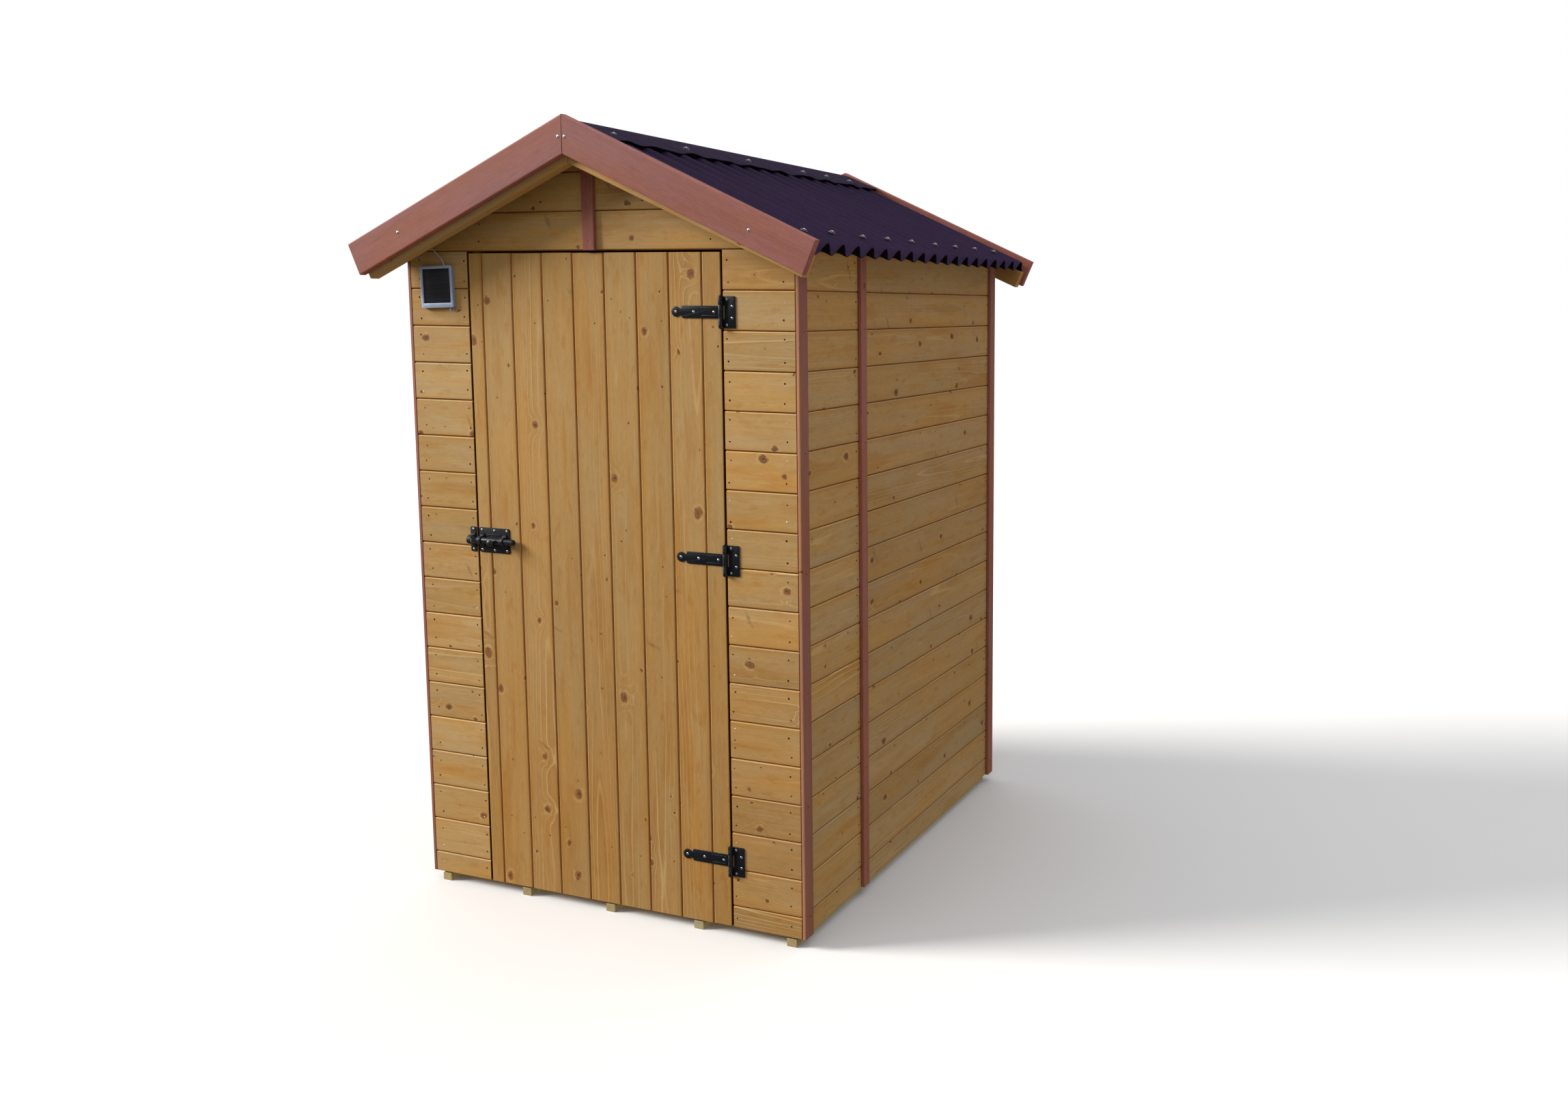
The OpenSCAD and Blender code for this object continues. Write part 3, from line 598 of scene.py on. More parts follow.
# the black iron's pale edge colour is a painted highlight
IRON = metal("black_japanned_iron", (.0046, .0056, .0094), (.11, .118, .135), (.36, .50), 0.0, spec=.14, rub_and_glint_share=.45, bump=.00003)
BOLT = metal("black_bolt_steel", (.0052, .0062, .0100), (.12, .128, .145), (.26, .40), .0, spec=.26, rub_and_glint_share=.4, bump=.00003)
ZINC = metal("zinc_screw", (.42, .43, .45), (.72, .73, .76), (.22, .42), 1.0, rub_and_glint_share=.4)
# roof nail caps: dark body, tops painted with a bright highlight
STEEL = metal("roof_nail_cap", (.045, .042, .052), (.86, .86, .90), (.10, .20), .85, rub_and_glint_share=1.0, spec=.6)
RECESS = metal("screw_recess", (.06, .06, .062), (.1, .1, .1), (.4, .6), .7)
NAILD = metal("driven_nail", (.020, .0105, .0055), (.06, .045, .034), (.55, .75), .0, spec=.05)
NAILB = metal("bright_nail", (.55, .50, .42), (.80, .76, .68), (.30, .46), .85, rub_and_glint_share=.4)


def bitumen():
    n = NT("bitumen_sheet")
    g = n.attr("gpos", "Vector")
    edge = n.attr("edge")
    fine = n.noise(g, 700.0, 3.0, .65)
    mid = n.noise(g, 60.0, 4.0, .6)
    run = n.noise(n.vmul(g, (3.0, 95.0, 95.0)), 1.0, 3.0, .6)
    big = n.noise(n.vmul(g, (2.0, 5.0, 5.0)), 1.0, 3.0, .6)
    col = n.mix(run, (.0256, .0152, .0395), (.0327, .0205, .0490))
    col = n.scale(col, n.math("ADD", .72, n.math("ADD", n.math("MULTIPLY", mid, .3), n.math("MULTIPLY", big, .26))))
    # paler valleys: dust, and painted fill light against the valleys' shade
    dust_and_fill = n.math("MULTIPLY", edge, n.rng(n.math("ADD", n.math("MULTIPLY", mid, .6), n.math("MULTIPLY", fine, .4)), .2, .7, .5, 1.0))
    col = n.mix(n.math("MAXIMUM", dust_and_fill, 0.0), col, n.mix(1.0, col, (1.55, 1.55, 1.5), "MULTIPLY"))
    # painted shade: sheet undersides near black, and the ridge cap's top a little darker than the sheet
    col = n.mix(n.math("MAXIMUM", n.math("MULTIPLY", edge, -1.0), 0.0), col, n.mix(1.0, col, (.28, .30, .28), "MULTIPLY"))
    r = n.math("ADD", .62, n.math("MULTIPLY", n.math("ADD", n.math("MULTIPLY", mid, .6), n.math("MULTIPLY", fine, .4)), .30))
    n.bump(n.math("ADD", n.math("MULTIPLY", fine, .6), mid), .0006)
    return n.done(col, r, .02)


BITUMEN = bitumen()


def frame_metal():
    n = NT("panel_frame_alloy")
    g = n.attr("gpos", "Vector")
    edge = n.attr("edge")
    a = n.noise(n.vmul(g, (60.0, 900.0, 60.0)), 1.0, 3.0, .6)
    b = n.noise(g, 70.0, 4.0, .62)
    col = n.mix(b, (.185, .240, .380), (.270, .340, .510))
    # painted highlight along the frame's rims
    col = n.mix(n.math("MULTIPLY", edge, .8), col, (.50, .61, .80))
    col = n.scale(col, n.math("ADD", .9, n.math("MULTIPLY", a, .2)))
    n.bump(n.math("ADD", a, b), .00006)
    return n.done(col, n.math("ADD", .3, n.math("MULTIPLY", b, .25)), .5, .25)


def cell_glass():
    n = NT("panel_cell_glass")
    g = n.attr("gpos", "Vector")
    s = n.sep(g)
    fin = n.math("FRACT", n.math("DIVIDE", s[0], .0019))
    fin = n.rng(n.math("ABSOLUTE", n.math("SUBTRACT", fin, .5)), .40, .46, 0.0, 1.0, True)
    bus = n.math("FRACT", n.math("DIVIDE", n.math("ADD", s[1], .011), .0222))
    bus = n.rng(n.math("ABSOLUTE", n.math("SUBTRACT", bus, .5)), .462, .475, 0.0, 1.0, True)
    cloud = n.noise(g, 55.0, 3.0, .6)
    col = n.mix(cloud, (.0095, .0095, .0150), (.0145, .0145, .0220))
    col = n.mix(n.math("MULTIPLY", fin, .07), col, (.07, .07, .09))
    col = n.mix(n.math("MULTIPLY", bus, .25), col, (.06, .06, .075))
    n.bump(n.math("ADD", fin, bus), .00003)
    return n.done(col, n.math("ADD", .30, n.math("MULTIPLY", cloud, .16)), .22, 0.0, .10, .12)


PFRAME, CELL = frame_metal(), cell_glass()


def plastic(name, c0, c1, rough):
    n = NT(name)
    g = n.attr("gpos", "Vector")
    a = n.noise(g, 160.0, 3.0, .6)
    n.bump(n.noise(g, 1400.0, 2.0), .00004)
    return n.done(n.mix(a, c0, c1), n.math("ADD", rough, n.math("MULTIPLY", a, .15)), .45)


LEAD = plastic("lead_sheath", (.40, .40, .42), (.56, .56, .58), .42)

# ------------------------------------------------------------------ walls
LINES = [25.0] + [80.7 + 96.0 * k for k in range(18)]  # board joints from the bottom edge to the door head


def rows(top, lines=LINES):
    ls = [z for z in lines if z < top - 4] + [top]
    return [(ls[i], ls[i + 1], i > 0, i < len(ls) - 2) for i in range(len(ls) - 1)]


def wall(name, node, org, ex, ez, x0, x1, top, mat):
    A, rg = Acc(), random.Random(name)
    for z0, z1, lo, hi in rows(top):
        # upper flanks painted lit, lower flanks and board ends painted in shade
        board(A, org, ex, Z, ez, tongue(z0, z1, 18.0, lo, hi), x0 + rg.uniform(0, .5), x1 - rg.uniform(0, .5), rg, bev=1.2, wob=.25, end_shade=1.4)
    make(name, A, mat, "cabin", [node])


wall("front_boards_left", "front_wall_left", V(0, -618, 0), X, -Y, -570, -384, 1712.7, PINE_FL)
wall("front_boards_right", "front_wall_right", V(0, -618, 0), X, -Y, 374, 570, 1712.7, PINE_FR)
wall("rear_boards", "rear_wall", V(0, 618, 0), X, Y, -570, 570, 1712.7, PINE_W)
for side, nm in ((-1, "left"), (1, "right")):
    wall(f"side_boards_{nm}_front", f"side_wall_{nm}_front", V(side * 552, 0, 0), Y, X * side, -618, -302, 1728.0, PINE_SF)
    wall(f"side_boards_{nm}_rear", f"side_wall_{nm}_rear", V(side * 552, 0, 0), Y, X * side, -302, 618, 1728.0, PINE_SR)


def gable(name, node, y, out):
    A, rg = Acc(), random.Random(name)
    top = PEAK - 44 / COS
    xe = lambda z: min(570.0, max(1.5, (top - z) / TAN))
    knee = top - 570 * TAN
    for z0, z1 in ((1712.7, 1808.7), (1808.7, 1904.7), (1904.7, top - 1)):
        ex = [knee] if z0 < knee < z1 else []
        board(A, V(0, y, 0), X, Z, out, tongue(z0, z1, 18.0, True, z1 < top - 5, extra=ex), lambda u: -xe(u), xe, rg, bev=0, wob=.2)
    make(name, A, PINE_W, "cabin", [node])


gable("front_gable_boards", "front_gable", -618.0, -Y)
gable("rear_gable_boards", "rear_gable", 618.0, Y)

# ------------------------------------------------------------------ brown trims and barge boards
for side, nm in ((-1, "left"), (1, "right")):
    for fr, y0, y1 in (("front", -636, -596), ("rear", 596, 636)):
        A, rg = Acc(), random.Random("corner" + nm + fr)
        # the right front corner trim has a painted highlight on its front edge
        board(A, V(side * 570, 0, 0), Z, Y, X * side, strip(y0, y1, 10.0, lit_edge=(-1.0 if side > 0 else 0.0) if fr == "front" else .3), 25, 1723, rg, wob=.15, pith=(40, 90))
        make(f"corner_strip_{fr}_{nm}", A, STRIP, "cabin", [f"corner_trim_{fr}_{nm}"])
    A, rg = Acc(), random.Random("joint" + nm)
    board(A, V(side * 570, 0, 0), Z, Y, X * side, strip(-318, -286, 10.0), 25, 1723, rg, wob=.15, pith=(40, 90))
    make(f"joint_strip_{nm}", A, STRIP, "cabin", [f"side_trim_{nm}"])
A, rg = Acc(), random.Random("gabletrim")
board(A, V(0, -636, 0), Z, X, -Y, plank(-17.5, 17.5, 10.0, 1.8), 1712.7, 1922, rg, wob=.1, pith=(40, 90))
make("gable_strip", A, BROWN, "cabin", ["gable_trim"])


def slope_board(name, node, side, y, out, n0, n1, thick, s_end, mat, gap, taper=0.0):
    A, rg = Acc(), random.Random(name)
    ex, ey = V(side * COS, 0, -SIN), V(-side * SIN, 0, -COS)
    board(A, V(0, y, PEAK), ex, ey, out, plank(n0, n1, thick, 2.2, 1.4), lambda u: u * TAN + gap, s_end, rg, wob=.2, pith=(60, 110), tilt=.006, taper=taper)
    make(name, A, mat, "cabin", [node])


for side, nm in ((-1, "left"), (1, "right")):
    for fr, out, y in (("front", -Y, -712), ("rear", Y, 712)):
        slope_board(f"barge_board_{fr}_{nm}", f"barge_{fr}_{nm}", side, y, out, 0, 86, 20.0, 741.6, BROWN, .5)
        slope_board(f"verge_timber_{fr}_{nm}", f"verge_rafter_{fr}_{nm}", side, math.copysign(684, y), out, 42, 104, 28.0, 731.6, HONEY, .2, 9.0 if side > 0 else 4.0)

# ------------------------------------------------------------------ frame, floor, bearers


def post(A, rg, x0, x1, y0, y1, z0, z1, r=2.0):
    board(A, V(0, y0, 0), Z, X, Y, plank(x0, x1, y1 - y0, r, r), z0, z1, rg, wob=0, pith=(15, 45), tilt=.008)


A, rg = Acc(), random.Random("corner_posts")
for sx in (-1, 1):
    for y0, y1 in ((-618, -573), (573, 618)):
        post(A, rg, min(sx * 507, sx * 552), max(sx * 507, sx * 552), y0, y1, 63, 1690)
make("corner_post_timbers", A, RAW, "cabin", ["corner_posts"])
A, rg = Acc(), random.Random("joint_posts")
for sx in (-1, 1):
    post(A, rg, min(sx * 507, sx * 552), max(sx * 507, sx * 552), -324.5, -279.5, 63, 1690)
make("joint_post_timbers", A, RAW, "cabin", ["joint_posts"])
A, rg = Acc(), random.Random("door_posts")
post(A, rg, -429, -384, -618, -573, 63, 1712.7)
post(A, rg, 374, 419, -618, -573, 63, 1712.7)
make("door_post_timbers", A, RAW, "cabin", ["door_posts"])
A, rg = Acc(), random.Random("header")
board(A, V(0, -618, 0), X, Z, Y, plank(1712.7, 1757.7, 45, 2, 2), -429, 419, rg, wob=0, pith=(15, 45))
make("door_header_timber", A, RAW, "cabin", ["door_header"])
A, rg = Acc(), random.Random("stop")
board(A, V(0, -612, 0), Z, X, Y, plank(-384, -366, 20, 1.6, 1.6), 63, 1712.7, rg, wob=0)
make("door_stop_batten", A, RAW, "cabin", ["door_stop"])
A, rg = Acc(), random.Random("plates")
for sx in (-1, 1):
    nz = lambda x: PEAK - x * TAN - 42 / COS
    pr = [(507, 1692, 1), (509, 1690, 1), (550, 1690, 1), (552, 1692, 1), (552, nz(552), .5), (507, nz(507), .5)]
    board(A, V(0, 0, 0), Y, X * sx, Z, [(u, v, e) for u, v, e in pr], -618, 618, rg, bev=0, wob=0)
make("top_plate_timbers", A, RAW, "cabin", ["top_plates"])
A, rg = Acc(), random.Random("ridge")
nz = lambda x: PEAK - abs(x) * TAN - 42 / COS
board(A, V(0, 0, 0), Y, X, Z, [(-22.5, 1924, 1), (-20.5, 1922, 1), (20.5, 1922, 1), (22.5, 1924, 1), (22.5, nz(22.5), 0), (0, nz(0), 0), (-22.5, nz(22.5), 0)], -684, 684, rg, bev=0, wob=0)
make("ridge_timber", A, RAW, "cabin", ["ridge_beam"])
A, rg = Acc(), random.Random("purlins")
for side in (-1, 1):
    ey, ez = V(side * COS, 0, -SIN), V(side * SIN, 0, COS)
    board(A, roof(side, 0, 70, 0), Y, ey, ez, plank(330, 375, 28, 1.8, 1.8), -684, 684, rg, wob=0)
make("purlin_timbers", A, RAW, "cabin", ["purlins"])
A, rg = Acc(), random.Random("bearers")
for x in (-538, -269, 0, 269, 538):
    board(A, V(x, 0, 0), Y, X, Z, plank(-14, 14, 45, 1.2, 1.2), -612, 618, rg, wob=0, pith=(8, 30), bev=1.0)
    board(A, V(x, 0, 0), Y, X, Z, plank(-14, 14, 20, 1.0, 1.2), -633, -611, rg, wob=0, pith=(8, 30), bev=.8)
make("bearer_timbers", A, GREEN, "cabin", ["bearers", "bearer_ends"])
A, rg = Acc(), random.Random("floor")
nb = 12
w = (618 + 612) / nb
for k in range(nb):
    board(A, V(0, 0, 45), X, Y, Z, tongue(-612 + w * k, -612 + w * (k + 1), 18.0, k > 0, k < nb - 1, c=1.4, g=.35), -552, 552, rg, wob=.1)
make("floor_boards", A, DECK, "cabin", ["floor_deck"])

# ------------------------------------------------------------------ door
GROOVES = [-338.7 + 93.6 * k for k in range(8)]
A, rg = Acc(), random.Random("door_leaf")
xs = [-379.0] + GROOVES + [369.0]
for k in range(len(xs) - 1):
    # each board's left flank painted lit, its right flank and its ends painted in shade
    board(A, V(0, -618, 0), Z, X, -Y, tongue(xs[k], xs[k + 1], 18.0, k > 0, k < len(xs) - 2, c=3.0, kl=-.35, kh=.66), 25 + rg.uniform(0, .8), 1707.7 - rg.uniform(0, .8), rg, wob=.3, tilt=.012, end_shade=.6)
make("door_boards", A, PINE_D, "door", ["door_leaf"])
A, rg = Acc(), random.Random("ledges")
for z in (198, 963, 1565):
    board(A, V(0, -618, 0), X, Z, Y, plank(z - 45, z + 45, 20, 4.0, .6), -349, 339, rg, wob=.1, bev=3.0)
make("door_ledge_boards", A, PINE_D, "door", ["door_ledges"])

# ------------------------------------------------------------------ roof
PITCH = 1420.0 / 18.5


def wave(y):
    return 26.0 - 14.5 * math.cos(2 * math.pi * (y + 710.0) / PITCH)


def sheet(side, nm):
    A, rg = Acc(), random.Random("sheet" + nm)
    ny, S = int(18.5 * 12), [22, 60, 130, 210, 300, 390, 480, 560, 630, 680, 708, 721, 723.6]
    jit = [[rg.uniform(-.5, .5) for _ in range(20)] for _ in S]
    vs, gs, es, fs = [], [], [], []
    for lay in (0, 1):
        for a, s in enumerate(S):
            for b in range(ny + 1):
                y = -710 + 1420.0 * b / ny
                slope = 14.5 * 2 * math.pi / PITCH * math.sin(2 * math.pi * (y + 710) / PITCH)
                k = math.sqrt(1 + slope * slope)
                half = 1.5 if S[-1] - s > .1 else 1.1
                c = wave(y) + jit[a][int(b / ny * 19)] * (.3 if a < len(S) - 3 else 1.0) * (1 - abs(math.cos(math.pi * b / 6)) * .3)
                n = c + (-half if lay == 0 else half)
                yy = min(710.0, max(-710.0, y + (slope / k) * (half if lay == 0 else -half)))
                edge_s = s + (rg.uniform(-.7, .4) if a == len(S) - 1 else 0)
                vs.append(roof(side, edge_s, max(10.0, min(42.0, n)), yy))
                gs.append((s, y, c))
                # edge mark: 1 in the valleys (dust and painted fill light), -1 on the underside (painted shade)
                es.append(.5 - .5 * math.cos(2 * math.pi * (y + 710) / PITCH) if lay == 0 else -1.0)
    w, off = ny + 1, len(S) * (ny + 1)
    for a in range(len(S) - 1):
        for b in range(ny):
            i = a * w + b
            fs.append((i, i + 1, i + w + 1, i + w))
            fs.append((off + i, off + i + w, off + i + w + 1, off + i + 1))
    for b in range(ny):
        fs.append((b, off + b, off + b + 1, b + 1))
        i = (len(S) - 1) * w + b
        fs.append((i, i + 1, off + i + 1, off + i))
    for a in range(len(S) - 1):
        i = a * w
        fs.append((i, i + w, off + i + w, off + i))
        i = a * w + ny
        fs.append((i, off + i, off + i + w, i + w))
    A.add(vs, fs, gs, .5, es)
    make(f"roof_sheet_{nm}_bitumen", A, BITUMEN, "cabin", [f"roof_sheet_{nm}"], sharp=60)


sheet(-1, "left")
sheet(1, "right")


def ridge():
    A, rg = Acc(), random.Random("ridgecap")
    ny = int(18.5 * 10)
    S = [-135, -134.4, -128, -116, -102, -88, -72, -54, -36, -22, -12, -5, 0, 5, 12, 22, 36, 54, 72, 88, 102, 116, 128, 134.4, 135]
    vs, gs, es, fs = [], [], [], []
    for lay in (0, 1):
        for a, s in enumerate(S):
            q, sd = abs(s), -1 if s < 0 else 1
            dip = min(1.0, max(0.0, (q - 62) / 70.0))
            dip = dip * dip * (3 - 2 * dip)
            rise = 4.2 * math.exp(-(q / 13.0) ** 2)
            for b in range(ny + 1):
                y = -710 + 1420.0 * b / ny
                ph = 2 * math.pi * (y + 710) / PITCH
                lap = .58 * math.sin(ph / 1.9 + 1.3 + sd) + .34 * math.sin(ph / 1.17 + .4 - sd) + .25 * math.sin(ph / 3.7 + 2.2)
                lift = max(0.0, min(1.0, (abs(y) - 640) / 70.0)) ** 2 * 4.0
                thick = 0.0 if lay == 0 else (3.6 if 0 < a < len(S) - 1 else 3.0)
                n = min(9.0, max(.6, 5.4 + rise * .7 + dip * (.2 + 3.3 * lap - lift))) + thick
                ss = q + (2.6 * dip * (.6 * math.sin(ph / 1.6 + sd) + .5 * math.sin(ph / 2.7 + .8)) if q > 112 else 0)
                p = roof(sd, min(ss, 137.0), n, y)
                if q < 1e-6:
                    p = V(0, y, PEAK - n / COS)
                vs.append(p)
                gs.append((s, y, n))
                # the cap's top painted a little darker, its underside painted in shade
                es.append(-.16 if lay == 0 else -1.0)
    w, off = ny + 1, len(S) * (ny + 1)
    for a in range(len(S) - 1):
        for b in range(ny):
            i = a * w + b
            fs.append((i, i + 1, i + w + 1, i + w))
            fs.append((off + i, off + i + w, off + i + w + 1, off + i + 1))
    for b in range(ny):
        fs.append((b, off + b, off + b + 1, b + 1))
        i = (len(S) - 1) * w + b
        fs.append((i, i + 1, off + i + 1, off + i))
    for a in range(len(S) - 1):
        i = a * w
        fs.append((i, i + w, off + i + w, off + i))
        i = a * w + ny
        fs.append((i, off + i, off + i + w, i + w))
    A.add(vs, fs, gs, .5, es)
    make("ridge_cap_bitumen", A, BITUMEN, "cabin", ["ridge_cap"], sharp=60)


ridge()

# roofing nails: domed heads on a washer, on every second crest and along the ridge cap; their tops take a painted
# highlight
A, rg = Acc(), random.Random("roofnails")
DOME = [(8.8, -1.4), (9.1, .2), (8.6, .9), (7.0, 1.3), (6.5, 2.3), (5.5, 4.0), (3.4, 5.3), (0, 5.8)]
DOME_GLINT = [0, .1, .3, 0, 0, .5, 1, 1]
for side in (-1, 1):
    out = V(side * SIN, 0, COS)
    for k in range(9):
        y = -710 + PITCH * (1 + 2 * k) + rg.uniform(-3, 3)
        lathe(A, roof(side, 650 + rg.uniform(-6, 6), 10.0, y), out, DOME, 14, 0, edges=DOME_GLINT)
        if k % 2 == 0 or k == 7:
            lathe(A, roof(side, 88 + rg.uniform(-6, 6), 6.0, y), out, DOME, 14, 0, edges=DOME_GLINT)
make("roofing_nails", A, [STEEL], "cabin", ())

# ------------------------------------------------------------------ nails and screws in the timber
A, rg = Acc(), random.Random("nails")


def pair(x, z0, z1, at, out):
    h = z1 - z0
    zs = [(z0 + z1) / 2] if h < 60 else [z0 + h * .24, z1 - h * .24]
    for z in zs:
        p = at(x + rg.uniform(-4, 4), z + rg.uniform(-5, 5))
        nail(A, p, out, rg.uniform(1.7, 2.7), .35, 0 if rg.random() < .87 else 1)


front = lambda x, z: V(x, -636, z)
back = lambda x, z: V(x, 636, z)
for z0, z1, *_ in rows(1712.7):
    for x in (-542, -397, 387, 542):
        pair(x, z0, z1, front, -Y)
    for x in (-542, 0, 542):
        pair(x, z0, z1, back, Y)
for z0, z1, *_ in rows(1712.7):
    for sx in (-1, 1):
        at = lambda y, z: V(sx * 570, y, z)
        for y in (-587, -330, -274, 587):
            pair(y, z0, z1, at, X * sx)
for z0, z1, x in ((1712.7, 1808.7, 340), (1808.7, 1904.7, 150)):
    for sx in (-1, 1):
        pair(sx * x, z0, z1, front, -Y)
        pair(sx * x, z0, z1, back, Y)
    pair(0, z0, z1, back, Y)
for side in (-1, 1):  # flat trims
    for y in (-616, 616, -302):
        for z in (70, 360, 650, 940, 1230, 1520, 1690):
            nail(A, V(side * 580, y + rg.uniform(-4, 4), z + rg.uniform(-8, 8)), X * side, 1.7, .3, 0)
make("wall_nails", A, [NAILD, NAILB], "cabin", ())

A, rg = Acc(), random.Random("door_nails")
for z in (198, 963, 1565):
    for k in range(len(xs) - 1):
        m_ = .5 * (xs[k] + xs[k + 1])
        wd = xs[k + 1] - xs[k]
        if m_ > 225 or (z == 963 and m_ < -270):
            continue
        for d, zz in ((-.24, 20), (.22, -20)) if wd > 60 else ((0, 14),):
            if rg.random() < .55:
                nail(A, V(m_ + d * wd + rg.uniform(-9, 9), -636, z + zz + rg.uniform(-14, 14)), -Y, rg.uniform(1.4, 1.9), .3, 0)
make("door_nails", A, [NAILD], "door", ())

A, rg = Acc(), random.Random("barge_screws")
for side in (-1, 1):
    for yy, out in ((-732, -Y), (732, Y)):
        for s, n in ((30, 44), (578, 46)):
            screw(A, roof(side, s + rg.uniform(-3, 3), n + rg.uniform(-4, 4), yy), out, 4.2, 1.0, rg.uniform(0, 1.5))
    for z in (1735, 1890):
        if side == 1:
            nail(A, V(0, -646, z), -Y, 2.0, .3, 1)
make("barge_screws", A, [ZINC, RECESS], "cabin", ())

# ------------------------------------------------------------------ hinges
HX, HY = 371.5, -642.0


def arc(cx, cy, r, a0, a1, n):
    return [(cx + r * math.cos(math.radians(a0 + (a1 - a0) * i / n)), cy + r * math.sin(math.radians(a0 + (a1 - a0) * i / n))) for i in range(n + 1)]


def strap_outline():
    upper = [(1.0, 15), (109.6, 15), (110.6, 14.6), (111.0, 13.6), (111.1, 11.4), (111.9, 9.6), (113.4, 8.5), (115.2, 8.2), (117.0, 8.5)]
    tip = arc(127.5, 0, 12.5, 136, -136, 22)
    lower = [(a, -b) for a, b in upper[::-1]]
    return upper + tip + lower


A, B, rg = Acc(), Acc(), random.Random("hinges")
for zc in (198, 963, 1565):
    o = V(HX, -636, zc)
    prism(A, strap_outline(), o, -X, Z, -Y, 0, 2.5, .7)
    for b in (-9.2, 9.2):  # pressed ribs
        prism(A, [(13, b - 1.3), (54, b - 1.3), (56, b), (54, b + 1.3), (13, b + 1.3), (11.5, b)], o, -X, Z, -Y, 2.3, 3.5, .9)
    ring = lambda a, b: [(3.2, a), (5.2, a), (5.5, a + .5), (5.5, b - .5), (5.2, b), (3.2, b)]
    lathe(A, V(HX, HY, zc), Z, ring(-15.6, 15.6), 24, 0, edges=[1, 1, .6, .6, 1, 1])
    for a in (21, 77, 127.5):
        screw(A, o + V(-a, -2.4, 0), -Y, 3.4, 1.3, rg.uniform(0, 1.5), 1, 2)
    leaf = [(1.0, 16.4), (8.4, 16.4), (8.4, -16.4), (1.0, -16.4), (1.0, -38), *arc(35, -35, 3, -90, 0, 5), *arc(35, 35, 3, 0, 90, 5), (1.0, 38)]
    prism(B, leaf, o, X, Z, -Y, 0, 2.5, .6)
    for a, b in ((-38, -16.2), (16.2, 38)):
        lathe(B, V(HX, HY, zc), Z, ring(a, b), 24, 0, edges=[1, 1, .6, .6, 1, 1])
    lathe(B, V(HX, HY, zc), Z, [(0, -40.2), (2.2, -39.9), (3.4, -38.9), (3.4, -37), (2.4, -36.9), (2.4, 36.9), (3.4, 37), (3.4, 38.9), (2.2, 39.9), (0, 40.2)], 18, 0)
    for a, b in ((14.5, 30.5), (14.5, -30.5), (29.5, 14), (29.5, -14)):
        screw(B, o + V(a, -2.4, b), -Y, 3.2, 1.3, rg.uniform(0, 1.5), 1, 2)
make("hinge_strap_iron", A, [IRON, ZINC, RECESS], "door", ["hinge_straps"])
make("hinge_leaf_iron", B, [IRON, ZINC, RECESS], "cabin", ["hinge_leaves"])

# ------------------------------------------------------------------ barrel bolt
BZ, BY = 964.0, -647.0


def rect(x0, x1, z0, z1, r):
    return arc(x1 - r, z1 - r, r, 0, 90, 4) + arc(x0 + r, z1 - r, r, 90, 180, 4) + arc(x0 + r, z0 + r, r, 180, 270, 4) + arc(x1 - r, z0 + r, r, 270, 360, 4)


def bridge(A, x0, x1, rin, thick, foot, base):
    """Strap bent over the bolt: feet on the plate, round over the rod."""
    h = base - BY  # height of the rod's middle over the plate face
    ro = rin + thick
    out = [(-foot, 0), (-foot, thick), (-ro - 2.2, thick), (-ro - .6, thick + .8), (-ro, thick + 2.4)] + [(ro * math.cos(math.radians(a)), h + ro * math.sin(math.radians(a))) for a in range(180, -1, -12)]
    out += [(ro, thick + 2.4), (ro + .6, thick + .8), (ro + 2.2, thick), (foot, thick), (foot, 0)]
    inn = [(rin, 0)] + [(rin * math.cos(math.radians(a)), h + rin * math.sin(math.radians(a))) for a in range(0, 181, 12)] + [(-rin, 0)]
    prof = out + inn
    n = len(prof)
    vs, gs, es = [], [], []
    for x, ins, e in ((x0, 0.35, 1), (x0 + .5, 0, .5), (x1 - .5, 0, .5), (x1, .35, 1)):
        for i, (z, y) in enumerate(prof):
            k = 1.0
            if i < len(out) and ins:
                k = 1 - ins / max(6.0, math.hypot(z, y - h))
            vs.append(V(x, base - (h + (y - h) * k if y > thick + 1 else y), BZ + z * k))
            gs.append((x, y, z))
            es.append(e)
    fs = []
    for k in range(3):
        for i in range(n):
            j = (i + 1) % n
            fs.append((k * n + i, k * n + j, (k + 1) * n + j, (k + 1) * n + i))
    fs.append(tuple(range(n)))
    fs.append(tuple(3 * n + i for i in range(n))[::-1])
    A.add(vs, fs, gs, .5, es)


A, rg = Acc(), random.Random("latch")
prism(A, rect(-377, -279, BZ - 33, BZ + 33, 4.5), V(0, -636, 0), X, Z, -Y, 0, 2.0, .7)
for x0, x1 in ((-373, -361), (-301, -289)):
    bridge(A, x0, x1, 8.7, 2.0, 17.5, -638.0)
for x in (-368, -328, -288):
    for z in (-26, 26):
        screw(A, V(x, -637.9, BZ + z), -Y, 3.3, 1.3, rg.uniform(0, 1.5), 1, 2)
for z in (-14.2, 14.2):  # pressed stiffening beads
    prism(A, [(-352, z - 1.4), (-310, z - 1.4), (-308.5, z), (-310, z + 1.4), (-352, z + 1.4), (-353.5, z)], V(0, -638, BZ), X, Z, -Y, -.1, 1.0, .7)
make("latch_plate_iron", A, [IRON, ZINC, RECESS], "door", ["latch_plate"])
A = Acc()
prism(A, rect(-406, -386, BZ - 33, BZ + 33, 3.5), V(0, -636, 0), X, Z, -Y, 0, 2.0, .7)
bridge(A, -402, -390, 10.0, 2.0, 18.5, -638.0)
for z in (-26.5, 26.5):
    screw(A, V(-396, -637.9, BZ + z), -Y, 3.3, 1.3, rg.uniform(0, 1.5), 1, 2)
make("latch_keeper_iron", A, [IRON, ZINC, RECESS], "cabin", ["latch_keeper"])
A = Acc()
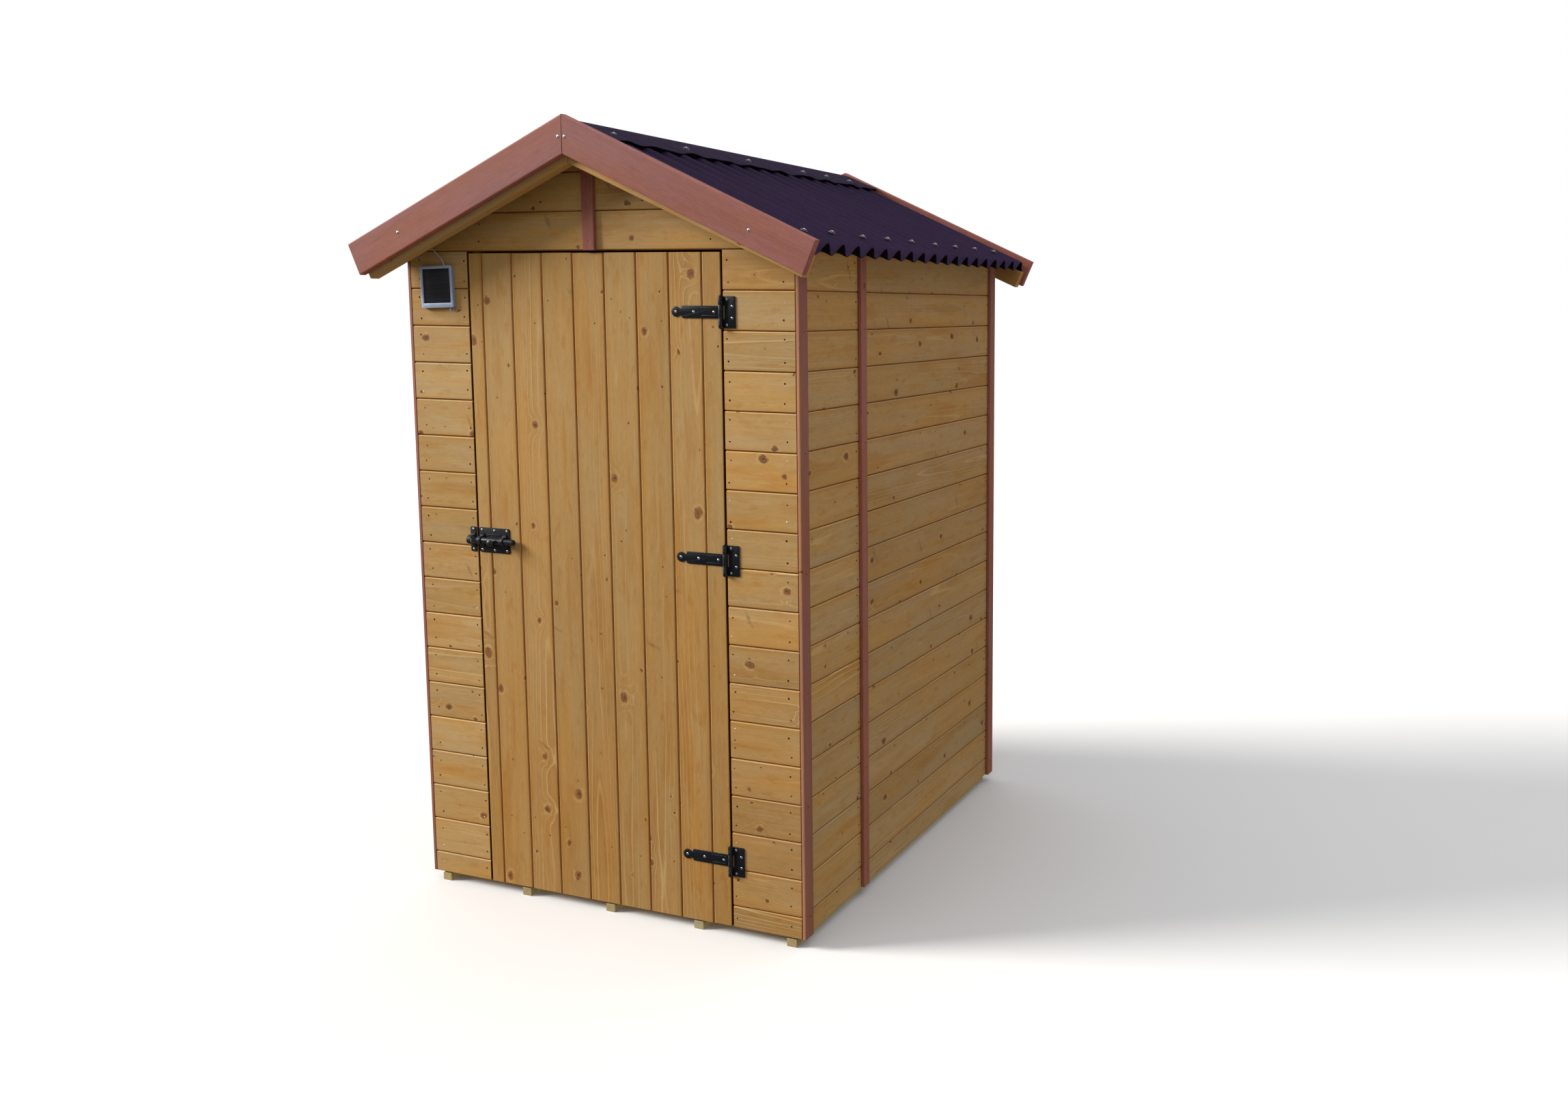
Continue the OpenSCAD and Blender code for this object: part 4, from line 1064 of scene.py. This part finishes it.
lathe(A, V(0, BY, BZ), X, [(0, -374), (4.6, -373.8), (6.6, -372.8), (7.7, -370.6), (8, -367.5), (8, -262.5), (7.6, -260.2), (6.4, -258.6), (0, -258.2)], 28, 0,
      edges=[0, .8, .9, .6, 0, .2, 1, .8, 0])
lathe(A, V(-311, BY, BZ), -Y, [(0, 2), (4.4, 2), (4.5, 9), (4.2, 12), (4.1, 17), (4.7, 21), (6.6, 22.8), (8.2, 25.6), (8.5, 28.6), (7.6, 31.8), (4.8, 33.7), (0, 34)], 24, 0,
      edges=[0, 0, .3, .2, 0, .2, .6, .8, .8, .6, .3, .1])
make("latch_bolt_steel", A, [BOLT], "bolt", ["latch_bolt"])

# ------------------------------------------------------------------ small panel and its lead
ca, sa = math.cos(math.radians(1.8)), math.sin(math.radians(1.8))
PA, PB, PO = V(ca, 0, sa), V(-sa, 0, ca), V(-478, -636, 1622)


def ring_loop(hw0, hw1, hb0, hb1, r, n=3):
    return arc(hw1 - r, hb1 - r, r, 0, 90, n) + arc(hw0 + r, hb1 - r, r, 90, 180, n) + arc(hw0 + r, hb0 + r, r, 180, 270, n) + arc(hw1 - r, hb0 + r, r, 270, 360, n)


A = Acc()
# edge values mark where the frame's painted highlight falls
loops = [
    (ring_loop(-51.5, 51.5, -54, 54, 3.0), 0.0, 0), (ring_loop(-51.5, 51.5, -54, 54, 3.0), 8.8, .2), (ring_loop(-51.1, 51.1, -53.6, 53.6, 2.8), 9.7, 1), (ring_loop(-50.3, 50.3, -52.8, 52.8, 2.4), 10.0, .6),
    (ring_loop(-45.1, 45.1, -43.1, 47.6, 1.4), 10.0, .3), (ring_loop(-44.5, 44.5, -42.5, 47.0, 1.2), 9.8, 1), (ring_loop(-44.0, 44.0, -42.0, 46.5, 1.0), 9.2, .4), (ring_loop(-44.0, 44.0, -42.0, 46.5, 1.0), 5.0, 0),
]
n = len(loops[0][0])
vs, gs, es, fs = [], [], [], []
for lp, h, e in loops:
    for a, b in lp:
        vs.append(PO + PA * a + PB * b - Y * h)
        gs.append((a, b, h))
        es.append(e)
for k in range(len(loops) - 1):
    for i in range(n):
        j = (i + 1) % n
        fs.append((k * n + i, k * n + j, (k + 1) * n + j, (k + 1) * n + i))
fs.append(tuple(range(n - 1, -1, -1)))
fs.append(tuple((len(loops) - 1) * n + i for i in range(n)))
A.add(vs, fs, gs, .5, es)
# small hanging eye under the right end
eye = [PO + PA * (43 + 5.8 * math.cos(t)) + PB * (-58.2 + 4.4 * math.sin(t)) - Y * (5 + 1.2 * math.sin(t * 2)) for t in [2 * math.pi * i / 28 for i in range(28)]]
tube(A, eye, 1.1, 8, 0, closed=True)
lathe(A, PO + PA * 43 - PB * 54 - Y * 5, -PB, [(3.0, -1.0), (3.0, .6), (2.2, 1.4), (1.6, 2.2), (0, 2.4)], 14, 0)
make("panel_rim", A, PFRAME, "cabin", ["panel_frame"])
A = Acc()
prism(A, ring_loop(-43.9, 43.9, -41.9, 46.4, 1.0), PO, PA, PB, -Y, 4.2, 7.5, .3)
make("panel_glass", A, CELL, "cabin", ["panel_cell"])
path = [(-455, -640, 1676.9), (-456, -640, 1683), (-459, -640, 1689), (-465, -640, 1697), (-475, -640, 1706), (-487, -640, 1716), (-498, -640, 1725), (-506, -640, 1731.5), (-511, -639, 1736), (-513, -636, 1738), (-513, -630, 1738), (-513, -620, 1738)]
pts = [V(*p) for p in path]
fine = []
for i in range(len(pts) - 1):
    p0, p1, p2, p3 = pts[max(0, i - 1)], pts[i], pts[i + 1], pts[min(len(pts) - 1, i + 2)]
    for k in range(4):
        t = k / 4
        fine.append(.5 * ((2 * p1) + (p2 - p0) * t + (2 * p0 - 5 * p1 + 4 * p2 - p3) * t * t + (3 * p1 - p0 - 3 * p2 + p3) * t ** 3))
fine.append(pts[-1])
A = Acc()
tube(A, fine, 1.5, 10, 0)
lathe(A, V(-455, -640, 1676.9), V(.06, 0, -1), [(2.0, -3.2), (2.5, -2.2), (2.5, .4), (0, .6)], 14, 0)
make("panel_lead_wire", A, LEAD, "cabin", ["panel_lead"])

# ------------------------------------------------------------------ floor and light


def stage_floor():
    n = NT("studio_floor")
    tc = n.t.nodes.new("ShaderNodeTexCoord")
    a = n.noise(tc.outputs["Object"], 1.2, 3.0, .6)
    return n.done(n.mix(a, (.70, .70, .70), (.725, .725, .725)), n.math("ADD", .75, n.math("MULTIPLY", a, .2)), .1)


me = bpy.data.meshes.new("studio_floor")
seg = 96
ringv = [(math.cos(2 * math.pi * i / seg) * 90, math.sin(2 * math.pi * i / seg) * 90, -.0005) for i in range(seg)]
me.from_pydata(ringv, [], [tuple(range(seg))])
me.materials.append(stage_floor())
floor = bpy.data.objects.new("studio_floor", me)
floor.visible_diffuse = floor.visible_glossy = floor.visible_shadow = False  # the ground light comes from the world below
scene.collection.objects.link(floor)

world = bpy.data.worlds.new("studio")
scene.world = world
world.use_nodes = True
wt = world.node_tree
wt.nodes.clear()
wo = wt.nodes.new("ShaderNodeOutputWorld")
tc = wt.nodes.new("ShaderNodeTexCoord")
sx = wt.nodes.new("ShaderNodeSeparateXYZ")
wt.links.new(tc.outputs["Generated"], sx.inputs[0])


def grade(out, a, b, c, d):
    r = wt.nodes.new("ShaderNodeMapRange")
    r.interpolation_type = "SMOOTHSTEP"
    for i, k in enumerate((a, b, c, d)):
        r.inputs[i + 1].default_value = k
    wt.links.new(out, r.inputs[0])
    return r.outputs[0]


mul = wt.nodes.new("ShaderNodeMath")
mul.operation = "MULTIPLY"
wt.links.new(grade(sx.outputs[2], 0.0, .78, .15, 1.12), mul.inputs[0])  # brighter overhead
wt.links.new(grade(sx.outputs[0], -.6, .8, 1.03, .87), mul.inputs[1])  # and on the left
sky = wt.nodes.new("ShaderNodeBackground")
sky.inputs[0].default_value = (.98, .985, 1.0, 1)
wt.links.new(mul.outputs[0], sky.inputs[1])
gnd = wt.nodes.new("ShaderNodeBackground")
gnd.inputs[0].default_value = (1.0, .90, .72, 1)
wt.links.new(grade(sx.outputs[0], .05, .85, .22, .69), gnd.inputs[1])
bg = wt.nodes.new("ShaderNodeMixShader")
wt.links.new(grade(sx.outputs[2], -.05, .03, 0.0, 1.0), bg.inputs[0])
wt.links.new(gnd.outputs[0], bg.inputs[1])
wt.links.new(sky.outputs[0], bg.inputs[2])
bw = wt.nodes.new("ShaderNodeBackground")
bw.inputs[0].default_value = (1, 1, 1, 1)
bw.inputs[1].default_value = 1.0
lp = wt.nodes.new("ShaderNodeLightPath")
mx = wt.nodes.new("ShaderNodeMixShader")
wt.links.new(lp.outputs["Is Camera Ray"], mx.inputs[0])
wt.links.new(bg.outputs[0], mx.inputs[1])
wt.links.new(bw.outputs[0], mx.inputs[2])
wt.links.new(mx.outputs[0], wo.inputs[0])


def area(name, pos, target, size, power, col):
    d = bpy.data.lights.new(name, "AREA")
    d.shape, d.size, d.energy, d.color = "DISK", size, power, col
    o = bpy.data.objects.new(name, d)
    o.location = pos
    o.rotation_euler = (Vector(target) - Vector(pos)).to_track_quat("-Z", "Y").to_euler()
    scene.collection.objects.link(o)


key = bpy.data.lights.new("key", "SUN")
key.energy, key.angle, key.color = 5.7, math.radians(20), (1.0, .965, .90)
ko = bpy.data.objects.new("key", key)
ko.rotation_euler = Vector((2.0, .80, -.95)).to_track_quat("-Z", "Y").to_euler()
ko.location = (-4, -2, 3)
scene.collection.objects.link(ko)

scene.view_settings.view_transform = "Standard"
scene.view_settings.look = "None"
